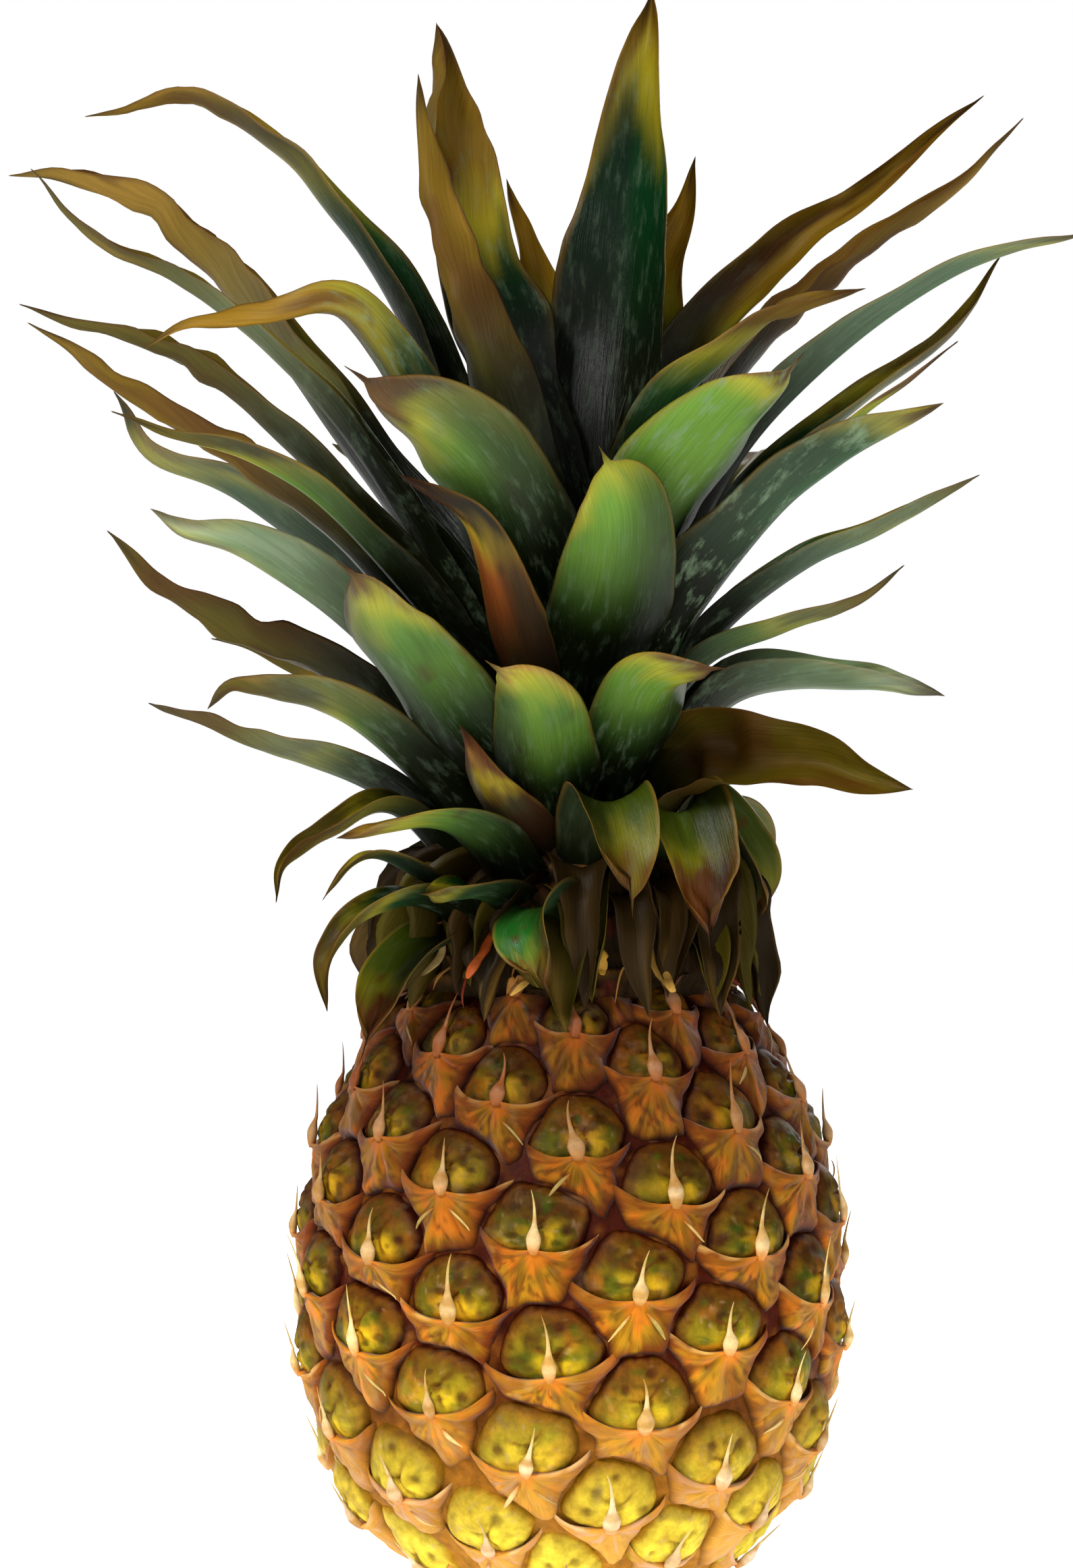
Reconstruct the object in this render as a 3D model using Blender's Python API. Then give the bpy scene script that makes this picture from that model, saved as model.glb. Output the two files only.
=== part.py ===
"""A whole pineapple standing on its base: one solid fruit covered in spiralling eyes, with a crown of
channelled leaves round a short stem. Lengths in the tables are millimetres; +Z is up, the front is -Y."""

import math

import bpy
import numpy as np

MM = 0.001

# Fruit: (height, radius of the skin between the eyes)
FRUIT_PROFILE = ((0.0, 27.0), (3.0, 31.0), (10.0, 37.5), (16.0, 43.5), (21.5, 48.0), (33.0, 51.5), (45.0, 54.5),
                 (56.0, 56.0), (75.0, 56.0), (91.0, 54.5), (102.0, 51.0), (114.0, 46.5), (124.0, 41.0),
                 (131.0, 34.0), (135.0, 26.0), (136.5, 16.0))
EYE_ANGLE = -6.5  # about the axis, from the front, of the eye that anchors the spirals
EYE_HEIGHT = 75.0
EYE_TURN = 137.5  # degrees from one eye to the next up the fruit
EYE_RISE = 1.425  # height gained from one eye to the next
EYE_STEEP = 13  # spirals that climb steeply; the shallow set has eight
CELL_ACROSS = 6  # mesh cells across one eye
CELL_UP = 5
DOME_RISE = 3.0  # how far a dome stands out of the skin
SPIKE_RISE = 7.0

# Crown stem: (height, radius)
STEM_PROFILE = ((137.0, 21.0), (145.0, 17.5), (156.0, 14.0), (175.0, 11.5), (200.0, 9.5), (218.0, 7.5), (228.0, 4.0))

LEAF_STATIONS = 10
FOOT_WIDTH = 5.5
FOOT_STANDS = 2.6  # from the stem's surface to the middle of a leaf foot
LEAF_THICK = 1.6  # at the midrib
EDGE_THICK = 1.0

# Leaf rows: name, azimuth and height of the foot on the stem, points (x, y, z) of the midrib up to the tip,
# greatest width, cupping (rise of the edges over the width), fullness towards the tip, roll at foot and tip.
LEAVES = (
    ("leaf_arching_left", 140, 206, ((-32, 20, 274), (-59, 34, 311), (-84, 44, 327), (-107, 50, 322)), 18, 0.35, 1.8, 0, 30),
    ("leaf_far_left_broad", 154, 200, ((-42, 21, 245), (-68, 27, 280), (-95, 29, 303), (-122, 29, 309)), 20, 0.45, 2.0, 0, 20),
    ("leaf_far_left_slim", 172, 194, ((-45, 4, 249), (-75, 5, 278), (-100, 5, 292), (-116, 5, 306)), 12, 0.4, 1.6, 0, 0),
    ("leaf_folded_left", 232, 207, ((-28, -30, 248), (-45, -42, 272), (-65, -44, 272), (-88, -44, 265)), 16, 0.3, 2.0, 0, 40),
    ("leaf_front_left_brown_tip", 258, 199, ((-12, -34, 228), (-24, -48, 246), (-47, -56, 259)), 25, 0.2, 2.8, 0, 0),
    ("leaf_left_long_slim", 185, 187, ((-35, -6, 222), (-60, -8, 249), (-82, -9, 266), (-117, -9, 276)), 15, 0.35, 1.8, 0, 10),
    ("leaf_left_olive", 192, 180, ((-40, -13, 220), (-62, -17, 239), (-90, -19, 256), (-114, -19, 272)), 16, 0.35, 1.8, 0, 20),
    ("leaf_left_slim", 214, 188, ((-42, -33, 226), (-62, -38, 241), (-82, -40, 247), (-95, -40, 252)), 14, 0.3, 1.4, 0, 0),
    ("leaf_left_hooked", 174, 172, ((-40, 7, 215), (-68, 11, 237), (-91, 11, 246), (-98, 11, 259)), 18, 0.4, 2.2, 0, 0),
    ("leaf_left_pale", 217, 174, ((-40, -26, 207), (-62, -32, 222), (-80, -34, 228), (-87, -34, 232)), 19, 0.38, 2.6, 0, 0),
    ("leaf_front_left_big", 241, 170, ((-26, -36, 190), (-38, -50, 206), (-48, -58, 220)), 25, 0.2, 3.0, 0, 0),
    ("leaf_left_low_olive", 200, 163, ((-42, -13, 194), (-66, -16, 206), (-84, -18, 215), (-98, -20, 227)), 16, 0.35, 2.0, 0, 10),
    ("leaf_left_low_hidden", 172, 160, ((-42, 8, 191), (-60, 10, 200), (-77, 10, 206)), 14, 0.35, 1.6, 0, 0),
    ("leaf_left_low_folded", 216, 158, ((-36, -24, 183), (-52, -32, 193), (-69, -36, 196), (-75, -36, 190)), 17, 0.35, 2.6, 0, 0),
    ("leaf_left_lowest", 188, 155, ((-38, -8, 174), (-58, -10, 182), (-76, -12, 187), (-89, -12, 192)), 15, 0.35, 1.8, 0, 0),
    ("leaf_left_droop_hook", 197, 148, ((-36, -20, 170), (-50, -28, 166), (-60, -32, 158), (-62, -34, 150)), 12, 0.3, 2.0, 0, 0),
    ("leaf_front_left_arch", 236, 150, ((-18, -36, 163), (-30, -47, 168), (-48, -52, 163)), 15, 0.2, 2.0, 0, 0),
    ("leaf_left_dark_arch", 210, 145, ((-33, -28, 157), (-43, -34, 160), (-51, -36, 150)), 9, 0.2, 2.0, 0, 0),
    ("leaf_left_droop_big", 224, 141, ((-30, -34, 151), (-42, -45, 149), (-51, -50, 139), (-50, -50, 128)), 14, 0.2, 2.0, 0, 0),
    ("leaf_front_small_dome", 242, 145, ((-18, -36, 153), (-31, -52, 152)), 12, 0.2, 2.6, 0, 0),
    ("leaf_front_droop_olive", 276, 140, ((-5, -34, 150), (-10, -46, 144), (-3, -50, 129)), 14, 0.2, 2.0, 0, 0),
    ("leaf_left_droop_shoulder", 196, 140, ((-28, -25, 143), (-38, -35, 134), (-43, -40, 116)), 12, 0.2, 2.0, 0, 0),
    ("leaf_centre_left_brown", 238, 214, ((-13, -10, 250), (-25, -8, 285), (-31, -4, 308), (-33, -2, 326)), 22, 0.2, 2.0, 0, -15),
    ("leaf_back_left_broad", 138, 217, ((-11, 10, 250), (-21, 16, 285), (-26, 21, 312), (-30, 23, 340)), 34, 0.2, 3.2, 0, 0),
    ("leaf_back_left_second", 105, 210, ((-2, 30, 255), (-6, 38, 280), (-13, 42, 308)), 22, 0.2, 2.0, 0, 0),
    ("leaf_back_right_broad", 52, 217, ((7, 18, 250), (12, 26, 290), (18, 30, 348)), 37, 0.2, 2.2, 0, 0),
    ("leaf_back_right_second", 78, 205, ((14, 34, 250), (20, 42, 285), (29, 46, 313)), 26, 0.2, 2.0, 0, 0),
    ("leaf_right_khaki", 41, 205, ((23, 24, 262), (46, 35, 290), (67, 39, 307), (91, 42, 327)), 19, 0.3, 2.0, 0, 60),
    ("leaf_right_brown", 13, 202, ((32, 6, 259), (56, 10, 284), (80, 12, 302), (98, 14, 318)), 13, 0.35, 1.8, 0, 20),
    ("leaf_right_folded", -30, 204, ((14, -16, 246), (32, -26, 266), (47, -32, 275), (61, -34, 278)), 17, 0.3, 2.0, 0, 0),
    ("leaf_front_right_oval", -52, 198, ((16, -30, 228), (30, -45, 247), (48, -58, 262)), 27, 0.2, 3.0, 0, 0),
    ("leaf_right_long", -7, 196, ((30, -6, 240), (52, -6, 265), (80, -6, 284), (112, -6, 294)), 15, 0.4, 1.6, 0, 0),
    ("leaf_right_twisted", 4, 187, ((34, 2, 232), (60, 2, 256), (80, 2, 270), (94, 2, 288)), 13, 0.35, 1.8, 0, 40),
    ("leaf_right_slim", -22, 191, ((40, -17, 237), (60, -19, 251), (81, -19, 268)), 7, 0.3, 1.6, 0, 0),
    ("leaf_right_pale_broad", -32, 184, ((22, -22, 211), (40, -31, 233), (58, -35, 245), (77, -36, 254)), 22, 0.35, 2.6, 0, 0),
    ("leaf_right_curved", -5, 178, ((28, -4, 206), (48, -6, 222), (66, -6, 230), (87, -6, 240)), 15, 0.35, 1.8, 0, 0),
    ("leaf_right_low_slim", -35, 171, ((25, -22, 199), (44, -23, 208), (60, -23, 213), (70, -23, 220)), 10, 0.35, 1.8, 0, 0),
    ("leaf_right_low_pale", -4, 163, ((22, -5, 183), (34, -9, 196), (54, -12, 198), (79, -12, 193)), 19, 0.4, 2.0, 0, 0),
    ("leaf_right_low_olive", -37, 154, ((22, -25, 177), (44, -34, 180), (71, -36, 174)), 26, 0.2, 2.0, 10, 80),
    ("leaf_right_droop_back", 0, 148, ((28, -4, 172), (38, -6, 162), (41, -6, 151), (37, -6, 139)), 14, 0.2, 2.0, 0, 0),
    ("leaf_right_droop_mid", -44, 146, ((22, -32, 171), (27, -42, 158), (29, -45, 139)), 17, 0.2, 2.0, 0, 0),
    ("leaf_front_droop", -76, 148, ((7, -37, 172), (11, -47, 163), (12, -50, 147)), 16, 0.2, 2.0, 0, 0),
    ("leaf_front_oval", -82, 192, ((9, -38, 212), (11, -50, 230), (5, -58, 243)), 25, 0.2, 3.0, 0, 0),
    ("leaf_front_low_left", -105, 164, ((-6, -40, 181), (-9, -54, 193), (-17, -60, 200)), 19, 0.2, 2.6, 0, 0),
    ("leaf_front_low_right", -62, 168, ((13, -31, 184), (19, -45, 197), (32, -51, 197)), 20, 0.2, 2.6, 0, 0),
    ("leaf_dried_brown", 242, 183, ((-13, -34, 211), (-20, -46, 228), (-35, -51, 238)), 18, 0.2, 2.0, 0, 0),
    ("leaf_dried_low", -92, 156, ((-15, -34, 171), (-24, -42, 186)), 16, 0.2, 2.0, 0, 0),
    ("leaf_rear_arching", 112, 190, ((-12, 40, 240), (-18, 68, 272), (-22, 92, 284)), 20, 0.3, 2.0, 0, 0),
    ("leaf_rear_left_mid", 134, 184, ((-26, 30, 220), (-42, 56, 244), (-54, 78, 252)), 19, 0.3, 2.0, 0, 0),
    ("leaf_rear_right_mid", 48, 184, ((22, 30, 222), (38, 56, 245), (50, 80, 250)), 19, 0.3, 2.0, 0, 0),
    ("leaf_rear_low_left", 124, 168, ((-20, 36, 190), (-32, 66, 204), (-40, 90, 204)), 18, 0.3, 2.0, 0, 0),
    ("leaf_rear_low_mid", 90, 172, ((1, 40, 197), (2, 72, 213), (4, 98, 211)), 19, 0.3, 2.0, 0, 0),
    ("leaf_rear_low_right", 58, 166, ((20, 36, 188), (32, 64, 200), (42, 88, 196)), 18, 0.3, 2.0, 0, 0),
    ("leaf_rear_droop_left", 118, 148, ((-16, 34, 166), (-26, 56, 168), (-32, 68, 150)), 16, 0.25, 2.0, 0, 0),
    ("leaf_rear_droop_mid", 85, 146, ((2, 36, 164), (4, 60, 166), (5, 74, 148)), 16, 0.25, 2.0, 0, 0),
    ("leaf_rear_droop_right", 50, 148, ((22, 28, 166), (36, 46, 168), (46, 58, 150)), 16, 0.25, 2.0, 0, 0),
    ("leaf_rear_upper_right", 62, 194, ((16, 34, 234), (28, 58, 262), (36, 80, 274)), 19, 0.3, 2.0, 0, 0),
)


def clear_scene():
    for thing in list(bpy.data.objects):
        bpy.data.objects.remove(thing, do_unlink=True)


def material(name, colour, roughness):
    """A Principled surface of one colour."""
    made = bpy.data.materials.new(name)
    made.use_nodes = True
    surface = made.node_tree.nodes["Principled BSDF"]
    surface.inputs["Base Color"].default_value = (*colour, 1.0)
    surface.inputs["Roughness"].default_value = roughness
    made.diffuse_color = (*colour, 1.0)
    return made


def add_mesh(name, points, faces, skin, group):
    """An object at the origin from points in millimetres."""
    mesh = bpy.data.meshes.new(name)
    mesh.from_pydata((np.asarray(points) * MM).tolist(), [], faces)
    mesh.update()
    made = bpy.data.objects.new(name, mesh)
    made.data.materials.append(skin)
    group.objects.link(made)
    return made


def grid_faces(rows, around):
    """Quads joining rings of the same count, with a face closing each end."""
    faces = []
    for row in range(rows - 1):
        low = row * around
        high = low + around
        for k in range(around):
            after = (k + 1) % around
            faces.append((low + k, low + after, high + after, high + k))
    faces.append(tuple(range(around - 1, -1, -1)))
    top = (rows - 1) * around
    faces.append(tuple(top + k for k in range(around)))
    return faces


def eye_lattice():
    """Angles and heights of every eye, counted up and down from the anchor."""
    count = np.arange(-60, 60)
    return EYE_ANGLE - EYE_TURN * count, EYE_HEIGHT + EYE_RISE * count


def column_offsets():
    """Heights by which the mesh columns through the steep spirals are shifted, so that a row meets every eye."""
    up = 5 * EYE_RISE
    down = -8 * EYE_RISE
    found = [0.0]
    for _ in range(EYE_STEEP):
        found.append(found[-1] + (up if found[-1] < 3.0 else down))
    return np.array(found)


def build_fruit(skin, group):
    pitch = EYE_STEEP * EYE_RISE
    turn = (-EYE_TURN * EYE_STEEP) % 360.0
    slope = turn / pitch
    columns = EYE_STEEP * CELL_ACROSS
    rows_z = EYE_HEIGHT + pitch / CELL_UP * np.arange(-21, 18)
    heights = np.array([p[0] for p in FRUIT_PROFILE])
    radii = np.array([p[1] for p in FRUIT_PROFILE])
    rows_z = rows_z[(rows_z > 5.0) & (rows_z < 133.0)]
    rows_z = np.concatenate(([0.0, 2.5], rows_z, [heights[-1]]))
    place = np.arange(columns) / CELL_ACROSS
    shift = np.interp(place, np.arange(EYE_STEEP + 1), column_offsets())
    row, col = np.meshgrid(rows_z, np.arange(columns), indexing="ij")
    fade = np.clip(np.minimum(row / 24.0, (heights[-1] - row) / 24.0), 0.0, 1.0)
    z = row + shift[col] * fade
    angle = EYE_ANGLE + place[col] * 360.0 / EYE_STEEP + slope * (z - EYE_HEIGHT)
    base = np.interp(z, heights, radii)
    eye_angle, eye_z = eye_lattice()
    keep = (eye_z > 9.0) & (eye_z < 130.0)
    eye_angle, eye_z = eye_angle[keep], eye_z[keep]
    away = (angle[..., None] - eye_angle + 180.0) % 360.0 - 180.0
    across = np.radians(away) * base[..., None] / 11.5
    up = (z[..., None] - eye_z) / 9.0
    nearest = across**2 + up**2
    dome = np.clip(1.0 - nearest.min(axis=-1), 0.0, 1.0) ** 0.6
    spike = np.clip(1.0 - nearest.min(axis=-1) / 0.05, 0.0, 1.0)
    radius = base + DOME_RISE * dome + (SPIKE_RISE - DOME_RISE) * spike
    turned = np.radians(angle)
    points = np.stack([radius * np.sin(turned), -radius * np.cos(turned), z], axis=-1).reshape(-1, 3)
    return add_mesh("fruit", points, grid_faces(len(rows_z), columns), skin, group)


def build_stem(skin, group):
    around = 16
    turned = np.arange(around) * 2 * math.pi / around
    points = [(radius * math.cos(t), radius * math.sin(t), z) for z, radius in STEM_PROFILE for t in turned]
    return add_mesh("crown_stem", points, grid_faces(len(STEM_PROFILE), around), skin, group)


def smooth_path(points, count):
    """A curve through the points, cut at even lengths."""
    fixed = np.array(points, float)
    fixed = np.vstack([2 * fixed[0] - fixed[1], fixed, 2 * fixed[-1] - fixed[-2]])
    t = np.linspace(0.0, 1.0, 24, endpoint=False)[:, None]
    spans = []
    for k in range(1, len(fixed) - 2):
        a, b, c, d = fixed[k - 1:k + 3]
        spans.append(0.5 * (2 * b + (c - a) * t + (2 * a - 5 * b + 4 * c - d) * t**2
                            + (3 * b - a - 3 * c + d) * t**3))
    line = np.vstack(spans + [fixed[-2:-1]])
    run = np.concatenate(([0.0], np.cumsum(np.linalg.norm(np.diff(line, axis=0), axis=1))))
    even = np.linspace(0.0, run[-1], count)
    return np.stack([np.interp(even, run, line[:, k]) for k in range(3)], axis=1)


def leaf_sections(azimuth, foot, points, width, cup, full, roll_foot, roll_tip):
    """Rings of six points round a channelled blade, from foot to tip."""
    turned = math.radians(azimuth)
    stem = np.interp(foot, [p[0] for p in STEM_PROFILE], [p[1] for p in STEM_PROFILE]) + FOOT_STANDS
    start = (stem * math.cos(turned), stem * math.sin(turned), foot)
    path = smooth_path((start,) + points, LEAF_STATIONS)
    along = np.gradient(path, axis=0)
    along /= np.linalg.norm(along, axis=1)[:, None]
    side = np.array([-math.sin(turned), math.cos(turned), 0.0])
    rings = []
    for k in range(LEAF_STATIONS):
        s = k / (LEAF_STATIONS - 1)
        side = side - (side @ along[k]) * along[k]
        side /= np.linalg.norm(side)
        up = np.cross(along[k], side)
        roll = math.radians(roll_foot + (roll_tip - roll_foot) * s)
        across = side * math.cos(roll) + up * math.sin(roll)
        rise = up * math.cos(roll) - side * math.sin(roll)
        grown = min(s / 0.45, 1.0)
        grown = grown * grown * (3.0 - 2.0 * grown)
        whole = (FOOT_WIDTH + (width - FOOT_WIDTH) * grown) * (1.0 - s**full) ** 0.8
        half = max(0.5 * whole, 0.9)
        lift = half * cup
        thick = LEAF_THICK if k < LEAF_STATIONS - 1 else EDGE_THICK
        rings += [path[k] - across * half + rise * lift, path[k] - rise * lift,
                  path[k] + across * half + rise * lift,
                  path[k] + across * half + rise * (lift - EDGE_THICK), path[k] - rise * (lift + thick),
                  path[k] - across * half + rise * (lift - EDGE_THICK)]
    return np.array(rings)


def build_leaf(row, skin, group):
    points = leaf_sections(*row[1:])
    faces = [face[::-1] for face in grid_faces(LEAF_STATIONS, 6)]
    return add_mesh(row[0], points, faces, skin, group)


def main():
    clear_scene()
    group = bpy.data.collections.new("pineapple")
    bpy.context.scene.collection.children.link(group)
    build_fruit(material("fruit_skin", (0.22, 0.16, 0.02), 0.5), group)
    build_stem(material("crown_stem_skin", (0.10, 0.04, 0.02), 0.8), group)
    for row in LEAVES:
        build_leaf(row, material(row[0] + "_skin", (0.08, 0.16, 0.04), 0.5), group)


main()
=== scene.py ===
"""The look of the pineapple: fruit with domed eyes, papery bracts and spikes, and a crown of fibrous
leaves. Lengths in the tables are millimetres and become metres when a mesh is made."""
import math

import bpy
import numpy as np
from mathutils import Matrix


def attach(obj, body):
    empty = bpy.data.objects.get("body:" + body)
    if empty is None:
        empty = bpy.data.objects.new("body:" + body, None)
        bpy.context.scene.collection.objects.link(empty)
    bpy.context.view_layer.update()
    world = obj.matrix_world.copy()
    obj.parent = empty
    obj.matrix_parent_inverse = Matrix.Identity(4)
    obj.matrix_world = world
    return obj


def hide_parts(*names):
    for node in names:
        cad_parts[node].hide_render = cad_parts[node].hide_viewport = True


MM = 0.001
GOLDEN_TURN = 137.5  # degrees from one eye, dead leaf or strand to the next
SMOOTHING_ROUNDS = 160  # of the fruit's profile
PATH_ROUNDS = 30  # of a leaf's midrib
FOOT_SHARE = 0.8  # a leaf's width at its foot, as a share of its full width
DRY_TWIST = 70.0  # degrees that a dry end may turn, half of them each way
THINNEST = 0.14  # half the width of a leaf's point
SKIRT_LEAVES, STRANDS, SCRAPS = 40, 44, 18

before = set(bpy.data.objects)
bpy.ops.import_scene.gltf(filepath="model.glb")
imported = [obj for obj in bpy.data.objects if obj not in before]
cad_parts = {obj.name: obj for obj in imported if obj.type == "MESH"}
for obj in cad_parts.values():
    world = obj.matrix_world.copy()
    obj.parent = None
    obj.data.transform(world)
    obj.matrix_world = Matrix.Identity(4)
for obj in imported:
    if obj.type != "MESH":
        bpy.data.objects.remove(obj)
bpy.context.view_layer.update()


# ---------------------------------------------------------------- small helpers

def tone(red, green, blue):
    """A display colour, 0 to 255, as linear light."""
    part = np.array([red, green, blue]) / 255.0
    return np.where(part <= 0.04045, part / 12.92, ((part + 0.055) / 1.055) ** 2.4)


def step(low, high, value):
    """0 below low, 1 above high, and a smooth cubic between them."""
    t = np.clip((value - low) / (high - low), 0.0, 1.0)
    return t * t * (3.0 - 2.0 * t)


def mix(first, second, amount):
    """The first colour turned into the second by an amount from 0 to 1 at each point."""
    amount = np.asarray(amount)[..., None]
    return np.asarray(first) * (1.0 - amount) + np.asarray(second) * amount


def coats(colour, *paints):
    """Coats laid over a colour one after another, each given as its colour and its amount at each
    point."""
    for paint, amount in paints:
        colour = mix(colour, paint, amount)
    return colour


def around_once(count):
    """Even turns round a circle, in radians."""
    return np.arange(count) * 2.0 * math.pi / count


def chance(index, seed):
    """A fixed number from 0 to 1 for each whole number: the fraction of a large sine."""
    return np.mod(np.sin(np.asarray(index, float) * 12.9898 + seed * 78.233) * 43758.5453, 1.0)


def cloud(x, y, z, seed=0):
    """Smooth noise from -1 to 1: fixed values at whole numbers, blended cubically between them."""
    x, y, z = np.broadcast_arrays(np.asarray(x, float), np.asarray(y, float), np.asarray(z, float))
    total = np.zeros(x.shape)
    bx, by, bz = np.floor(x), np.floor(y), np.floor(z)
    fx, fy, fz = x - bx, y - by, z - bz
    fx, fy, fz = (f * f * (3.0 - 2.0 * f) for f in (fx, fy, fz))
    for i in (0, 1):
        for j in (0, 1):
            for k in (0, 1):
                value = chance((bx + i) * 1.0 + (by + j) * 57.0 + (bz + k) * 113.0, seed + 1)
                weight = (fx if i else 1 - fx) * (fy if j else 1 - fy) * (fz if k else 1 - fz)
                total += weight * value
    return 2.0 * total - 1.0


def add_piece(name, points, faces, skin, colours=None, uv=None, extra=None):
    """A smooth mesh at the origin. faces is a list of index arrays, each of three or four columns."""
    mesh = bpy.data.meshes.new(name)
    points = np.asarray(points, float).reshape(-1, 3) * MM
    faces = [np.asarray(part, np.int32) for part in faces]
    corners = np.concatenate([part.ravel() for part in faces])
    sizes = np.concatenate([np.full(len(part), part.shape[1], np.int32) for part in faces])
    starts = np.concatenate(([0], np.cumsum(sizes)[:-1])).astype(np.int32)
    mesh.vertices.add(len(points))
    mesh.vertices.foreach_set("co", points.ravel())
    mesh.loops.add(len(corners))
    mesh.loops.foreach_set("vertex_index", corners)
    mesh.polygons.add(len(sizes))
    mesh.polygons.foreach_set("loop_start", starts)
    mesh.polygons.foreach_set("loop_total", sizes)
    mesh.polygons.foreach_set("use_smooth", np.ones(len(sizes), bool))
    mesh.update(calc_edges=True)
    if colours is not None:
        tints = mesh.color_attributes.new(name="tint", type="FLOAT_COLOR", domain="POINT")
        rgba = np.ones((len(points), 4))
        rgba[:, :3] = np.clip(np.asarray(colours).reshape(-1, 3), 0.0, 1.0)
        tints.data.foreach_set("color", rgba.ravel())
    if uv is not None:
        layer = mesh.uv_layers.new(name="grain")
        layer.data.foreach_set("uv", np.asarray(uv, float).reshape(-1, 2)[corners].ravel())
    for key, values in (extra or {}).items():
        mesh.attributes.new(name=key, type="FLOAT", domain="POINT").data.foreach_set(
            "value", np.asarray(values, float).ravel())
    mesh.validate()
    made = bpy.data.objects.new(name, mesh)
    bpy.context.scene.collection.objects.link(made)
    mesh.materials.append(skin)
    return made


def ring_faces(rows, around):
    """Quads between closed rings laid one after another."""
    row, col = np.meshgrid(np.arange(rows - 1) * around, np.arange(around), indexing="ij")
    after = (col + 1) % around
    quads = [row + col, row + after, row + around + after, row + around + col]
    return np.stack(quads, axis=-1).reshape(-1, 4)


def fan_faces(start, around, pole, turned):
    """Triangles from one closed ring to a pole point."""
    here = start + np.arange(around)
    after = start + (np.arange(around) + 1) % around
    fan = np.stack([here, after, np.full(around, pole)], axis=-1)
    return fan[:, ::-1] if turned else fan


# ---------------------------------------------------------------- fruit form

# Height and radius at the tops of the eyes
FRUIT_Z = np.array([0.0, 1.5, 4.0, 10.0, 16.0, 21.5, 27.0, 33.0, 39.0, 45.0, 56.0, 66.0, 75.0, 85.0,
                    91.0, 97.0, 102.0, 108.0, 114.0, 120.0, 126.0, 130.0, 133.5, 135.5, 136.4])
FRUIT_R = np.array([27.0, 29.0, 32.0, 38.0, 43.6, 48.4, 51.4, 53.6, 55.4, 56.8, 58.3, 58.8, 58.6, 57.4,
                    56.4, 54.6, 52.8, 50.0, 47.0, 43.6, 39.8, 36.0, 31.0, 24.5, 16.0])
RISE = 3.4  # from the grooves to the tops of the eyes

fine = np.linspace(0.0, len(FRUIT_Z) - 1.0, 900)
knot = np.arange(len(FRUIT_Z))
smooth_z = np.interp(fine, knot, FRUIT_Z)
smooth_r = np.interp(fine, knot, FRUIT_R)
for _ in range(SMOOTHING_ROUNDS):
    smooth_z[1:-1] = 0.25 * smooth_z[:-2] + 0.5 * smooth_z[1:-1] + 0.25 * smooth_z[2:]
    smooth_r[1:-1] = 0.25 * smooth_r[:-2] + 0.5 * smooth_r[1:-1] + 0.25 * smooth_r[2:]
run = np.concatenate(([0.0], np.cumsum(np.hypot(np.diff(smooth_z), np.diff(smooth_r)))))
run += 75.0 - np.interp(75.0, smooth_z, run)
slope_z = np.gradient(smooth_z, run)
slope_r = np.gradient(smooth_r, run)
BOTTOM_RUN, TOP_RUN = run[0], run[-1]


def on_fruit(angle, reach, out):
    """The point at an angle from the front and a distance up the skin, moved outwards square to the
    skin."""
    radius = np.interp(reach, run, smooth_r) + (out - RISE) * np.interp(reach, run, slope_z)
    height = np.interp(reach, run, smooth_z) - (out - RISE) * np.interp(reach, run, slope_r)
    turned = np.radians(angle)
    return np.stack(np.broadcast_arrays(radius * np.sin(turned), -radius * np.cos(turned), height), axis=-1)


# Eyes: a spiral with a fixed turn. The rise from eye to eye grows towards the base, where the fruit is
# slimmer. The eight shallow families are pushed a little apart, as (degrees round, millimetres up).
COUNT = np.arange(-56, 50)
FAMILY_SHIFT = np.array([(0.8, 0.3), (2.0, 2.0), (3.6, 0.0), (-4.2, 3.6),
                         (0.0, 0.0), (-2.3, 1.8), (3.2, 2.2), (4.5, -1.5)])
EYE_ANGLE = -8.0 - GOLDEN_TURN * COUNT + FAMILY_SHIFT[COUNT % 8, 0] + 1.6 * (chance(COUNT, 4) - 0.5)
EYE_RUN = 79.0 + 1.38 * COUNT - 0.004 * np.maximum(0, -COUNT - 12) ** 2
EYE_RUN = EYE_RUN + FAMILY_SHIFT[COUNT % 8, 1] + 1.2 * (chance(COUNT, 3) - 0.5)
ACROSS = 1.012  # millimetres for each degree, where the fruit is widest
DOME_HALF = 12.3  # half the width of an eye's dome
DOME_UP = 10.4  # from the dome's middle to its top
DOME_DOWN = 6.5  # and to its bottom
DOME_MIDDLE = 4.3  # the dome's middle above the foot of its spike
GROOVE = 0.6  # half the width of the groove between neighbours
TURNS = 96  # directions in which an outline is known
LOWEST_EYE, HIGHEST_EYE = BOTTOM_RUN + 6.0, TOP_RUN - 9.0
MIDDLE_RUN = 74.0  # the fruit is made in a lower and an upper half
SHOWN = np.flatnonzero((EYE_RUN > LOWEST_EYE) & (EYE_RUN < HIGHEST_EYE))


def offsets(one, other):
    """From one eye to another over the unrolled skin, in millimetres: across and up."""
    away = (EYE_ANGLE[other] - EYE_ANGLE[one] + 180.0) % 360.0 - 180.0
    return away * ACROSS, EYE_RUN[other] - EYE_RUN[one]


def neighbours(many=14):
    """For each eye, the eyes nearest to it."""
    every = np.arange(len(COUNT))
    x, y = offsets(every[:, None], every[None, :])
    far = np.hypot(x, y) + 1000.0 * np.eye(len(COUNT))
    return np.argsort(far, axis=1)[:, :many]


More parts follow.
